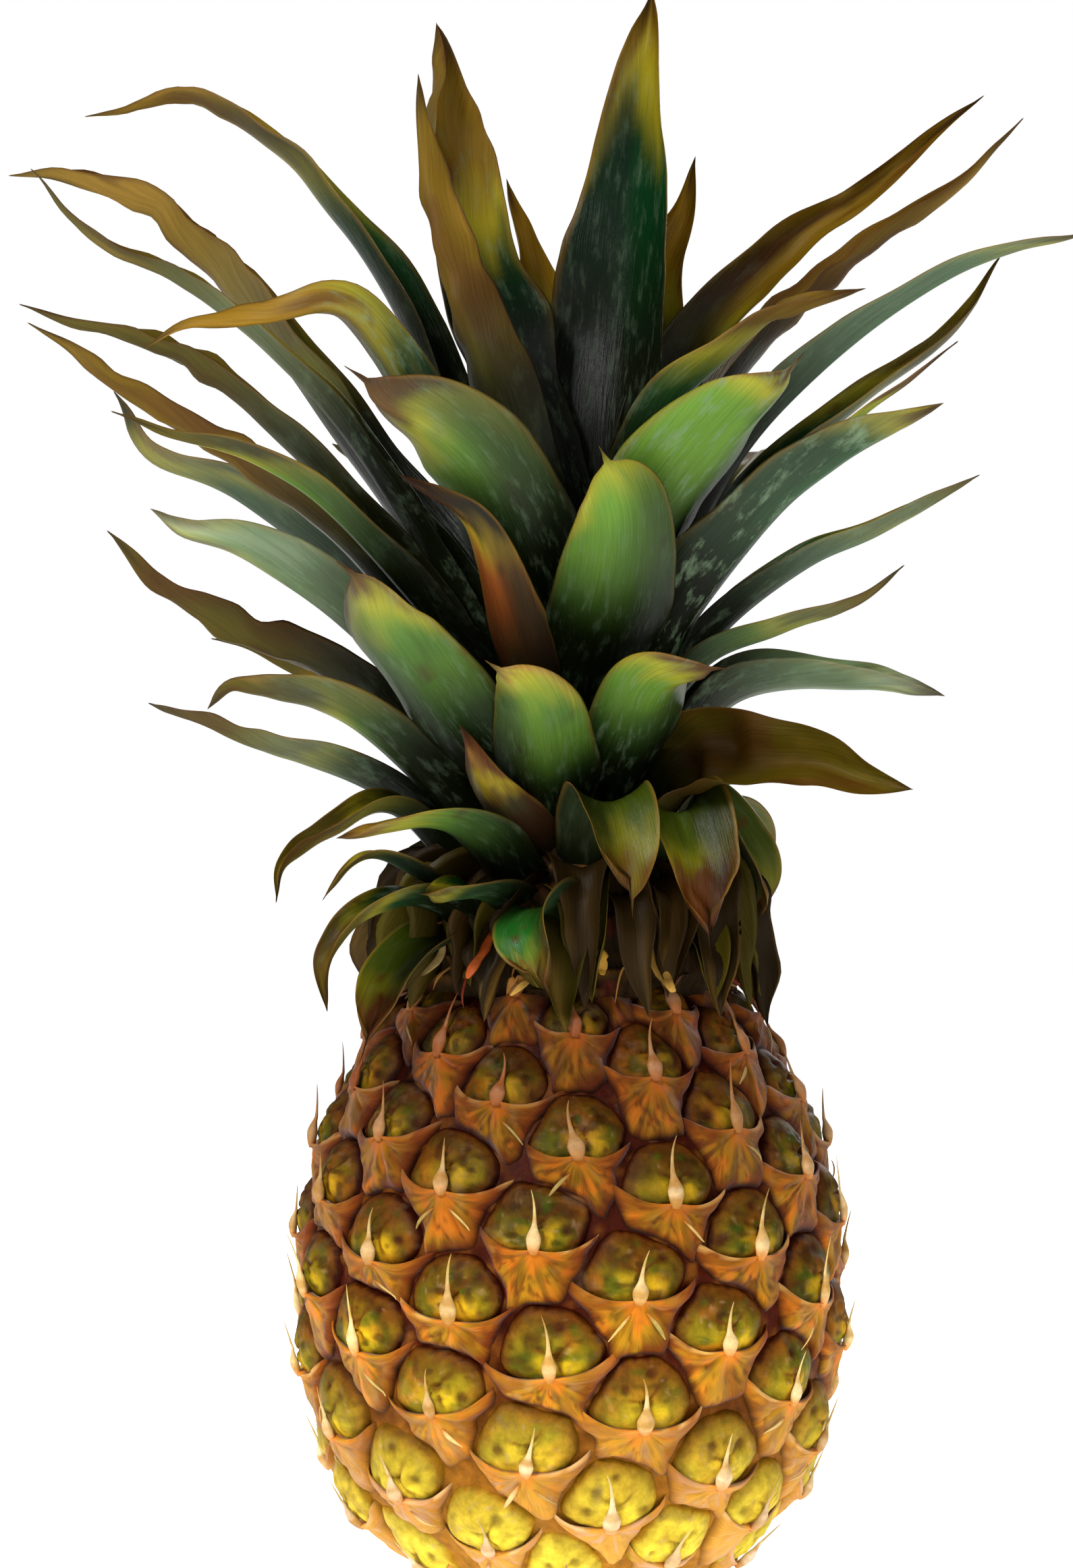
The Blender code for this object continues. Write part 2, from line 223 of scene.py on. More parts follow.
def dome_outlines():
    """A dome's rim, as a distance for each direction: an arch, kept inside the half way line to each
    neighbour, then made uneven by noise."""
    turned = around_once(TURNS)
    ux, uy = np.cos(turned), np.sin(turned)
    x, y = offsets(np.arange(len(COUNT))[:, None], NEAR)
    apart = np.sort(np.hypot(x, y), axis=1)[:, :4].mean(axis=1)
    size = (apart / 22.6 * (0.96 + 0.08 * chance(COUNT, 6)))[:, None]
    tall = np.where(uy > 0, DOME_UP, DOME_DOWN)
    own = size / ((np.abs(ux) / DOME_HALF) ** 2.3 + (np.abs(uy) / tall) ** 2.3) ** (1 / 2.3)
    facing = x[..., None] * ux + y[..., None] * uy
    half_way = (x**2 + y**2)[..., None] / 2.0 / np.maximum(facing, 0.01) - GROOVE
    limit = np.where(facing > 0.01, half_way, 99.0).min(axis=1)
    rim = (own ** -8 + np.maximum(limit, 2.0) ** -8) ** (-1 / 8)
    ragged = 0.045 * cloud(2.2 * ux, 2.2 * uy, COUNT[:, None] * 4.1, 7)
    return rim * (1.0 + ragged)


NEAR = neighbours()
RIMS = dome_outlines()


def rim_share(eye, x, y):
    """How far a point lies towards the rim of an eye's dome: 0 at its middle, 1 on its rim, more
    outside."""
    turned = np.arctan2(y - DOME_MIDDLE, x) / (2.0 * math.pi) * TURNS % TURNS
    low = turned.astype(int) % TURNS
    part = turned - np.floor(turned)
    rim = RIMS[eye, low] * (1.0 - part) + RIMS[eye, (low + 1) % TURNS] * part
    return np.hypot(x, y - DOME_MIDDLE) / rim


def place(eye, x, y, out):
    """Points on the fruit from places on an eye's own unrolled patch."""
    return on_fruit(EYE_ANGLE[eye] + x / ACROSS, EYE_RUN[eye] + y, out)


def closing(eye):
    """1 over most of the fruit, less for the eyes that crowd under the crown and round the base."""
    above_base = step(LOWEST_EYE - 2.0, LOWEST_EYE + 16.0, EYE_RUN[eye])
    below_crown = step(TOP_RUN - 8.0, TOP_RUN - 30.0, EYE_RUN[eye])
    return 0.55 + 0.45 * above_base * below_crown


def ripeness(reach):
    """1 at the bottom of the fruit, where it is yellow, falling to 0 half way up."""
    return step(58.0, 6.0, reach)


def shade(reach):
    """0 over the body of the fruit, 1 under the crown, where everything is brown: it carries the crown's
    painted shade.
    """
    return step(96.0, 140.0, reach)


def ripening_and_painted_light(colour, reach):
    """Tints darkened by how far up the fruit they are and brightened near its bottom: partly the fruit's
    own browning, partly painted shade under the crown and painted light near the floor. Blue falls first,
    then green, then red.
    """
    return colour * np.stack([np.interp(reach, RIPENING_AND_PAINTED_LIGHT[0], part) for part in RIPENING_AND_PAINTED_LIGHT[1:]], axis=-1)


# Distance up the skin, then what red, green and blue are multiplied by there: browning mixed with painted
# shade near the top and painted light near the bottom
RIPENING_AND_PAINTED_LIGHT = np.array([(8.0, 34.0, 57.0, 78.0, 99.0, 120.0, 150.0), (1.12, 1.10, 1.16, 0.80, 0.54, 0.38, 0.28),
                 (1.08, 0.96, 0.98, 0.62, 0.40, 0.25, 0.16), (1.4, 0.95, 0.62, 0.40, 0.28, 0.18, 0.12)])


def build_rind(skin):
    """The ground between the eyes: the turned profile, gently rough, closed by a flat base and a flat
    top."""
    around, rows, under = 320, 180, 9
    reach = np.linspace(BOTTOM_RUN, TOP_RUN, rows)[:, None]
    angle = np.linspace(-180.0, 180.0, around, endpoint=False)[None, :]
    reach, angle = np.broadcast_arrays(reach, angle)
    rough = cloud(np.sin(np.radians(angle)) * 20.0, np.cos(np.radians(angle)) * 20.0, reach / 2.6, 8)
    points = on_fruit(angle, reach, 0.45 + 0.45 * rough).reshape(-1, 3)
    colour = coats(tone(62, 18, 2), (tone(176, 124, 30), ripeness(reach) * 0.75),
                   (tone(140, 92, 26), 0.5 * step(0.1, 0.8, rough)))
    # Browning up the fruit, with painted shade near the crown and painted light near the base
    colour = ripening_and_painted_light(colour, reach)
    colour = mix(colour, tone(152, 116, 52), 0.8 * step(LOWEST_EYE, BOTTOM_RUN, reach))
    ring = np.linspace(1.0, 0.0, under, endpoint=False)[1:, None] * abs(points[0, 1])
    turned = np.radians(angle[0])[None, :]
    base = np.stack(np.broadcast_arrays(ring * np.sin(turned), -ring * np.cos(turned), 0.0), axis=-1)
    scar = cloud(base[..., 0] / 3.0, base[..., 1] / 3.0, 0.0, 15)
    base_colour = mix(tone(152, 116, 52), tone(92, 62, 30), 0.5 + 0.5 * scar)
    base_rings = rows * around + np.arange((under - 1) * around).reshape(-1, around)
    chain = np.vstack([np.arange(around)[None], base_rings])
    faces = [ring_faces(rows, around)]
    for upper, lower in zip(chain[:-1], chain[1:]):
        faces.append(np.stack([lower, np.roll(lower, -1), np.roll(upper, -1), upper], axis=-1))
    middle = (rows + under - 1) * around
    faces.append(np.stack([np.full(around, middle), np.roll(chain[-1], -1), chain[-1]], axis=-1))
    edge = (rows - 1) * around + np.arange(around)
    faces.append(np.stack([edge, np.roll(edge, -1), np.full(around, middle + 1)], axis=-1))
    ends = [[0.0, 0.0, 0.0], [0.0, 0.0, points[edge[0], 2]]]
    points = np.concatenate([points, base.reshape(-1, 3), ends])
    end_colours = [tone(92, 62, 30), tone(28, 10, 4)]
    colours = np.concatenate([colour.reshape(-1, 3), base_colour.reshape(-1, 3), end_colours])
    made = add_piece("fruit_rind", points, faces, skin, colours)
    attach(made, "root")
    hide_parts("fruit")


def dome_out(x, y, share, key):
    """How far a dome stands out: a flattened button with three sepal lobes that meet at a pit, and
    small dimples. Gives the height, the seams between the lobes, the dimples, and the place measured
    from the pit."""
    body = np.clip(1.0 - share**2.8, 0.0, 1.0)
    out = 0.2 + 3.1 * body**0.55
    px, py = x - 0.9 - 1.2 * (chance(key, 9) - 0.5), y - 5.2 - 1.6 * (chance(key, 10) - 0.5)
    far = np.hypot(px, py)
    swing = np.arctan2(py, px) + 0.5 * (chance(key, 11) - 0.5)
    lobe = np.abs(np.cos(1.5 * (swing - 1.9)))
    out = out + 0.95 * np.exp(-(far / 5.2) ** 2) * lobe**0.6 - 0.9 * np.exp(-(far / 0.9) ** 2)
    out = out + 0.42 * cloud(x / 2.7, y / 2.7, key * 7.31, 5) * body**0.5
    out = out + 0.24 * cloud(x / 1.1, y / 1.1, key * 3.7, 6) * body**0.5
    seam = step(0.35, 0.05, lobe) * step(6.0, 3.0, far) + step(1.6, 0.5, far)
    pits = np.zeros(x.shape)
    for k, (ox, oy) in enumerate(((0.5, 10.6), (7.2, 4.4), (-7.0, 3.6), (4.6, 8.4), (-4.6, 8.6))):
        strength = step(0.45, 0.75, chance(key, 20 + k))
        sx = ox + 2.6 * (chance(key, 30 + k) - 0.5)
        sy = oy + 2.0 * (chance(key, 40 + k) - 0.5)
        wide = 0.8 + 0.8 * chance(key, 50 + k)
        pits = np.maximum(pits, strength * np.exp(-((x - sx) ** 2 + 1.3 * (y - sy) ** 2) / wide**2))
    return out - 0.7 * pits * body**0.3, np.clip(seam, 0.0, 1.0), pits, px, py


def build_domes(name, eyes, skin):
    """Each dome is a closed button: rings from its middle to its rim, then a wall and a floor inside
    the rind."""
    rings, around = 20, 64
    share = np.concatenate([np.linspace(1.0 / rings, 1.0, rings) ** 0.9, [1.0]])[None, :, None]
    turned = around_once(around)[None, None, :]
    eye = eyes[:, None, None]
    key = COUNT[eye].astype(float)
    at = turned / (2.0 * math.pi) * TURNS
    low = at.astype(int) % TURNS
    rim = RIMS[eye, low] * (1.0 - at % 1.0) + RIMS[eye, (low + 1) % TURNS] * (at % 1.0)
    x = share * rim * np.cos(turned)
    y = DOME_MIDDLE + share * rim * np.sin(turned)
    share = np.broadcast_to(share, x.shape)
    out, seam, pits, px, py = dome_out(x, y, share, key)
    out = out * closing(eye)
    out[:, -1] = -1.2
    points = place(eye, x, y, out)
    reach = EYE_RUN[eye] + y
    # Painted shade of the crown dims the yellow lobes and pale flecks near the top.
    ripe, painted_crown_shade = ripeness(reach), shade(reach)
    blotch = cloud(x / 3.6, y / 3.6, key * 5.1, 11)
    fleck = cloud(x / 1.0, y / 1.0, key * 2.3, 12)
    warm = cloud(x / 4.4, y / 4.0, key * 9.7, 13)
    dark_patch = cloud(x / 2.1, y / 1.5, key * 4.9, 14)
    green_patch = cloud(x / 2.6, y / 2.0, key * 6.7, 16)
    right_lobe = np.exp(-((px - 2.6) ** 2 + (py + 2.4) ** 2) / 6.5)
    lobes = right_lobe + 0.5 * np.exp(-((px + 3.0) ** 2 + (py + 1.6) ** 2) / 6.0)
    # Rings towards each dome's rim: the brown ring is partly the dome's own colour and partly painted
    # shade, and the darkest ring is painted shade in the groove round the dome, lighter and yellower near
    # the base.
    edge = step(0.86, 0.97, share + 0.05 * fleck + 0.04 * blotch)
    colour = coats(
        tone(118, 112, 22), (tone(62, 70, 10), step(-0.4, 0.4, blotch)),
        (tone(146, 100, 26), 0.85 * step(-0.1, 0.5, warm)),
        (tone(214, 190, 36), np.clip(0.75 * lobes * (1.0 - 0.5 * painted_crown_shade), 0.0, 1.0)),
        # Upper part of each dome darker and browner: partly its own colour, partly painted shade where the
        # bract above meets it
        (tone(86, 52, 10), 0.7 * step(3.0, 11.0, y + 2.2 * blotch)),
        (tone(54, 34, 6), 0.7 * step(0.1, 0.55, dark_patch)),
        (tone(52, 84, 14), 0.6 * step(0.2, 0.7, green_patch) * (1.0 - ripe)),
        (tone(226, 208, 56), ripe * (0.72 + 0.2 * step(-0.4, 0.4, blotch))),
        (tone(150, 128, 28), 0.55 * ripe * step(0.1, 0.7, warm)),
        (tone(168, 146, 122), 0.4 * step(0.5, 0.95, fleck) * (1.0 - 0.6 * painted_crown_shade)),
        # Painted shade, with the dome's own brown, towards its rim
        (tone(92, 52, 14), 0.75 * step(0.62, 0.92, share) * (1.0 - 0.6 * ripe)),
        (tone(86, 46, 10), 0.75 * seam * (1.0 - 0.4 * ripe)),
        (tone(60, 26, 8), np.clip(pits * 1.4, 0.0, 1.0) * (0.88 - 0.35 * ripe)),
        # Painted shade in the groove round the dome
        (mix(tone(46, 12, 2), tone(164, 124, 20), ripe * 0.9), edge))
    # Browning up the fruit, with painted shade near the crown and painted light near the base
    colour = ripening_and_painted_light(colour, reach)
    count, block = len(eyes), (rings + 1) * around
    centre = np.zeros(count), np.full(count, DOME_MIDDLE)
    top = place(eyes, *centre, closing(eyes) * 3.2)
    floor = place(eyes, *centre, np.full(count, -1.2))
    points = np.concatenate([points.reshape(count, block, 3), top[:, None], floor[:, None]], axis=1)
    tints = [colour.reshape(count, block, 3), colour[:, 0, :1], colour[:, -1, :1]]
    each = (np.arange(count) * (block + 2))[:, None, None]
    sides = (ring_faces(rings + 1, around)[None, :, ::-1] + each).reshape(-1, 4)
    crown = (fan_faces(0, around, block, False)[None] + each).reshape(-1, 3)
    sole = (fan_faces(block - around, around, block + 1, True)[None] + each).reshape(-1, 3)
    made = add_piece(name, points, [sides, crown, sole], skin, np.concatenate(tints, axis=1))
    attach(made, "root")


BRACT_RAYS, BRACT_RINGS, BRACT_SPREAD = 53, 13, math.radians(103.0)
# How long a bract's rays may grow, for each angle from straight down
BRACT_CAP = ((0.0, 22.0, 42.0, 58.0, 72.0, 84.0, 94.0, 103.0),
             (14.4, 13.8, 12.4, 11.0, 10.6, 12.2, 14.2, 15.2))
LONGEST_RAY = 15.6


def bract_lean(eyes):
    """How far each bract is turned about its spike, up to seven degrees either way, in radians."""
    return np.radians(14.0 * (chance(COUNT[eyes], 60) - 0.5))


def bract_reach(eyes):
    """How far each ray of a bract runs from the foot of its spike before it meets the groove of another
    dome."""
    ray = np.linspace(-BRACT_SPREAD, BRACT_SPREAD, BRACT_RAYS)
    cap = np.interp(np.degrees(np.abs(ray)), *BRACT_CAP)[None, :]
    cap = cap * (0.92 + 0.16 * chance(COUNT[eyes], 61))[:, None]
    cap = cap * (1.0 + 0.13 * cloud(ray[None, :] * 3.2, 0.0, COUNT[eyes][:, None] * 2.3, 62))
    test = np.linspace(0.0, LONGEST_RAY, 131)
    swung = ray[None, :] + bract_lean(eyes)[:, None]
    x = test * np.sin(swung)[..., None]
    y = -test * np.cos(swung)[..., None]
    free = np.ones((len(eyes), BRACT_RAYS, len(test)), bool)
    nearest = (1.045 - 0.15 * step(math.radians(72.0), math.radians(90.0), np.abs(ray)))[None, :, None]
    for column in range(NEAR.shape[1]):
        other = NEAR[eyes, column]
        ox, oy = offsets(eyes, other)
        share = rim_share(other[:, None, None], x - ox[:, None, None], y - oy[:, None, None])
        free &= share > nearest
    blocked = np.argmax(~free | (test >= LONGEST_RAY - 0.01), axis=2)
    found = np.minimum(test[blocked], cap)
    found = np.maximum(found, 2.5)
    padded = np.pad(found, ((0, 0), (1, 1)), mode="edge")
    return ray, (0.25 * padded[:, :-2] + 0.5 * padded[:, 1:-1] + 0.25 * padded[:, 2:])


def bract_out(ray, v, key, x, y):
    """A bract's height: highest at the spike, ridged along its wings, ribbed outwards, rolled down at
    its rim."""
    wing = step(math.radians(55.0), math.radians(98.0), np.abs(ray))
    rib = np.abs(np.sin(ray * 3.6 + 2.6 * cloud(ray * 1.6, v * 2.4, key * 1.9, 63)))
    out = 1.9 + 2.3 * (1.0 - v) ** 1.2 + 0.8 * wing * (1.0 - v**2)
    out = out + 0.42 * (rib - 0.5) * step(0.05, 0.45, v) * (1.0 - 0.6 * wing)
    out = out + 0.35 * cloud(x / 2.1, y / 2.1, key * 1.7, 64) * step(0.0, 0.4, v)
    return out, wing, rib


def build_bracts(name, eyes, skin):
    """Each bract is a thin papery patch: rays from the foot of the spike fill the ground out to the
    domes round it."""
    ray, length = bract_reach(eyes)
    count = len(eyes)
    v = np.concatenate([np.linspace(0.0, 1.0, BRACT_RINGS - 1) ** 0.9, [1.03]])[None, None, :]
    ray = ray[None, :, None]
    eye = eyes[:, None, None]
    key = COUNT[eye].astype(float)
    swung = ray + bract_lean(eyes)[:, None, None]
    x = length[..., None] * v * np.sin(swung)
    y = -length[..., None] * v * np.cos(swung)
    out, wing, rib = bract_out(ray, v, key, x, y)
    y = y - 1.5 * np.sin(math.pi * np.clip(v, 0, 1)) * wing + 1.3 * wing * v**2.5
    rolled = step(0.86, 1.03, v)
    out = (out - 1.5 * rolled) * closing(eye)
    out[:, :, -1] = -0.6
    inner = np.minimum(out - 0.45, 2.6)
    inner[:, :, -1] = -0.9
    points = np.stack([place(eye, x, y, out), place(eye, x, y, inner)], axis=1)
    reach = EYE_RUN[eye] + y
    ripe = ripeness(reach)
    grain = cloud(ray * 7.0, v * 2.2, key * 2.9, 66)
    spot = cloud(x / 2.2, y / 2.2, key * 1.1, 67)
    freckle = cloud(x / 0.9, y / 0.9, key * 6.3, 68)
    # The right side of each bract's skirt is darker: painted shade, as if lit from the left.
    side = step(0.0, 0.9, np.sin(ray) + 0.25 * spot) * step(0.45, 0.9, v)
    crest = step(math.radians(95.0), math.radians(102.0), np.abs(ray)) * step(0.15, 0.35, v)
    crest = crest * step(0.4, 0.7, chance(key * 2.0 + (ray > 0), 70)) * step(-0.4, 0.2, spot)
    sideways = step(0.6, 0.9, np.abs(np.sin(ray)))
    colour = coats(
        tone(204, 128, 34), (tone(170, 132, 28), step(-0.6, 0.2, spot) * step(0.05, 0.35, v)),
        (tone(112, 88, 18), 0.8 * step(-0.3, 0.4, grain) * step(0.15, 0.5, v)),
        (tone(110, 50, 8), 0.6 * step(0.45, 1.0, 1.0 - rib) * step(0.15, 0.5, v)),
        (tone(60, 32, 6), 0.65 * step(0.15, 0.7, freckle) * step(0.2, 0.6, v)),
        (tone(228, 176, 66), ripe * 0.65),
        (tone(216, 180, 150), 0.5 * ripe * step(0.0, 0.6, grain)),
        (tone(196, 158, 112), 0.35 * step(0.3, 0.8, spot) * sideways),
        # Painted shade on the bract's right side
        (tone(98, 36, 8), 0.7 * side * (1.0 - 0.7 * ripe)),
        (tone(160, 84, 26), 0.35 * wing * step(0.2, 0.6, v) * (1.0 - 0.7 * ripe)),
        (mix(tone(104, 46, 10), tone(196, 142, 36), ripe * 0.8), 0.85 * step(0.78, 1.0, v + 0.12 * grain)),
        # Near-black rim where the bract rolls down into the groove: painted shade, lighter near the base
        (mix(tone(34, 7, 1), tone(150, 108, 20), ripe * 0.8), step(0.93, 1.02, v)),
        (tone(224, 190, 126), 0.75 * crest),
        (tone(218, 142, 52), 0.7 * step(0.26, 0.05, v)))
    # Browning up the fruit, with painted shade near the crown and painted light near the base
    colour = ripening_and_painted_light(colour, reach)
    # The inner face is a darker copy of the outer: painted shade under the bract.
    colours = np.stack([colour, colour * 0.55], axis=1)
    wide, tall = BRACT_RAYS, BRACT_RINGS
    patch = shell_faces(wide, tall)
    faces = (patch[None] + (np.arange(count) * 2 * wide * tall)[:, None, None]).reshape(-1, 4)
    uv = np.stack(np.broadcast_arrays(ray * 6.0 + key, length[..., None] * v), axis=-1)
    made = add_piece(name, points, [faces], skin, colours, uv=np.stack([uv, uv], axis=1))
    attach(made, "root")


def shell_faces(wide, tall):
    """Faces of a thin closed patch: an outer grid, an inner grid behind it, and the rim between
    them."""
    index = np.arange(wide * tall).reshape(wide, tall)
    outer = np.stack([index[:-1, :-1], index[:-1, 1:], index[1:, 1:], index[1:, :-1]], axis=-1)
    outer = outer.reshape(-1, 4)
    inner = outer[:, ::-1] + wide * tall
    loop = np.concatenate([index[:, 0], index[-1, 1:], index[-2::-1, -1], index[0, -2:0:-1]])
    after = np.roll(loop, -1)
    rim = np.stack([loop, after, after + wide * tall, loop + wide * tall], axis=-1)
    return np.concatenate([outer, inner, rim])


def add_horns(name, line, width, thick, side, colour, skin, around=10):
    """Many tapered horns in one mesh. line is the middle of each horn, side its flat direction, width
    and thick its half sizes along it: each ring is an oval of those half sizes, and both ends close on
    a point."""
    count, rows = line.shape[:2]
    along = np.gradient(line, axis=1)
    along /= np.linalg.norm(along, axis=2, keepdims=True)
    side = side - (side * along).sum(axis=2, keepdims=True) * along
    side /= np.linalg.norm(side, axis=2, keepdims=True)
    rise = np.cross(along, side)
    turned = around_once(around)
    ring = (side[:, :, None] * (width[..., None] * np.cos(turned))[..., None]
            + rise[:, :, None] * (thick[..., None] * np.sin(turned))[..., None])
    points = (line[:, :, None] + ring).reshape(count, -1, 3)
    points = np.concatenate([points, line[:, :1], line[:, -1:] + 0.15 * along[:, -1:]], axis=1)
    shades = np.repeat(colour[:, :, None], around, axis=2).reshape(count, -1, 3)
    shades = np.concatenate([shades, colour[:, :1], colour[:, -1:]], axis=1)
    block = rows * around
    each = (np.arange(count) * (block + 2))[:, None, None]
    sides = (ring_faces(rows, around)[None] + each).reshape(-1, 4)
    low = (fan_faces(0, around, block, True)[None] + each).reshape(-1, 3)
    high = (fan_faces(block - around, around, block + 1, False)[None] + each).reshape(-1, 3)
    made = add_piece(name, points, [sides, low, high], skin, shades)
    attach(made, "root")


def across_fruit(eye, x, y, out):
    """The direction round the fruit at a place on an eye's patch."""
    step_on = place(eye, x + 0.1, y, out) - place(eye, x, y, out)
    return step_on / np.linalg.norm(step_on, axis=-1, keepdims=True)


def build_spikes(skin):
    """Each spike is a plump bulb that narrows sharply to a thin bent point, standing more proud towards
    its tip."""
    rows = 17
    eye = SHOWN[:, None]
    key = COUNT[eye].astype(float)
    s = np.linspace(0.0, 1.0, rows)[None, :]
    length = 12.6 + 4.0 * (chance(key, 71) - 0.45)
    bend = 5.2 * (chance(key, 72) - 0.45)
    hook = 6.5 * (chance(key, 73) - 0.5)
    stand = (0.8 + 4.6 * chance(key, 74) ** 1.6) * (0.25 + 0.75 * step(20.0, 55.0, EYE_RUN[eye]))
    stand = stand * (0.45 + 0.55 * step(128.0, 104.0, EYE_RUN[eye]))
    x = bend * s**1.4 - 1.4 * hook * s**2 + 1.4 * hook * s**3.5
    y = -1.0 + length * s
    bulb = 4.2 + 0.5 * np.sin(math.pi * np.clip(s / 0.5, 0, 1))
    out = bulb * (0.4 + 0.6 * closing(eye)) + stand * s**1.7
    wide = np.interp(s, [0.0, 0.06, 0.16, 0.27, 0.36, 0.46, 0.62, 0.8, 0.93, 1.0],
                     [0.8, 1.2, 1.6, 1.7, 1.15, 0.58, 0.36, 0.24, 0.14, 0.05])
    wide = wide * (0.85 + 0.35 * chance(key, 75))
    streak = cloud(x * 1.2, s * 9.0, key * 3.0, 76)
    flat = np.ones_like(x)
    reach = EYE_RUN[eye] + y
    pale = coats(tone(226, 206, 160), (tone(186, 150, 82), step(-0.3, 0.7, streak)),
                 (tone(206, 196, 122), 0.7 * step(0.4, 0.8, s)))
    colour = coats(
        tone(206, 138, 60) * np.ones_like(pale), (pale, step(-0.02, 0.22, s + 0.08 * streak) * flat),
        (tone(132, 96, 36), step(0.55, 0.95, s) * chance(key, 77)),
        (tone(132, 58, 18), step(82.0, 116.0, reach) * (0.6 + 0.4 * chance(key, 78))),
        (tone(150, 108, 48), 0.6 * chance(key, 70) * flat))
    # Browning up the fruit, with painted shade near the crown and painted light near the base
    colour = mix(colour, ripening_and_painted_light(colour, reach), 0.6 * flat)
    line = place(eye, x, y, out)
    add_horns("fruit_spikes", line, wide, 0.62 * wide, across_fruit(eye, x, y, out), colour, skin)


def build_flaps(skin):
    """Pale slivers where the bract's skirt has split and curled: thin bent strips lying over its lower
    corners."""
    rows = 9
    eyes = np.repeat(SHOWN, 2)
    second = np.tile([0, 1], len(SHOWN))
    keep = chance(COUNT[eyes] * 3.1 + second, 90) > 0.72
    eyes, second = eyes[keep], second[keep]
    eye = eyes[:, None]
    key = COUNT[eye] * 2.0 + second[:, None] * 57.0
    hand = np.where(second[:, None] == 0, 1.0, -1.0)
    s = np.linspace(0.0, 1.0, rows)[None, :]
    sway = 0.9 * np.sin(3.0 * s) * (chance(key, 92) - 0.4)
    x = hand * (1.6 + 2.6 * s + 1.5 * chance(key, 91) * s + sway) + 1.6 * hand * s
    drop = 3.6 + 2.6 * chance(key, 93)
    y = -2.6 - 1.6 * chance(key, 94) - drop * s
    out = (3.3 - 0.9 * s + 0.9 * np.abs(np.sin(2.6 * s + chance(key, 95)))) * closing(eye)
    wide = (0.22 + 0.3 * chance(key, 96)) * np.sin(math.pi * np.clip(0.06 + 0.9 * s, 0, 1)) ** 0.7 + 0.04
    pale = mix(tone(206, 184, 118), tone(164, 150, 88), step(0.3, 0.8, chance(key, 97)) * np.ones_like(s))
    colour = mix(tone(178, 110, 36) * np.ones_like(pale), pale, step(0.05, 0.35, s) * np.ones_like(x))
    # Browning up the fruit, with painted shade near the crown and painted light near the base
    colour = mix(colour, ripening_and_painted_light(colour, EYE_RUN[eye] + y), 0.8 * np.ones_like(x))
    line = place(eye, x, y, out)
    across = across_fruit(eye, x, y, out)
    thick = np.minimum(0.4 * wide, 0.25)
    add_horns("fruit_flaps", line, wide, thick, across, colour, skin, around=6)


# ---------------------------------------------------------------- leaves

GREENS = {
    "deep": tone(1, 38, 12), "green": tone(3, 58, 20), "fresh": tone(22, 74, 20),
    "light": tone(80, 116, 24), "pale": tone(98, 128, 66), "yellow": tone(160, 142, 20),
    "dull": tone(46, 56, 6), "rust": tone(58, 24, 5), "maroon": tone(60, 20, 4),
    "amber": tone(122, 58, 12)}
DRIES = {
    "gold": tone(118, 86, 6), "khaki": tone(94, 70, 4), "olive": tone(74, 62, 3), "brown": tone(66, 32, 4),
    "dark": tone(30, 12, 2), "rust": tone(74, 36, 8), "straw": tone(142, 106, 36)}

# The crown's stem: (height, radius)
STEM = ((137.0, 21.0), (145.0, 17.5), (156.0, 14.0), (175.0, 11.5), (200.0, 9.5), (218.0, 7.5),
        (228.0, 4.0))

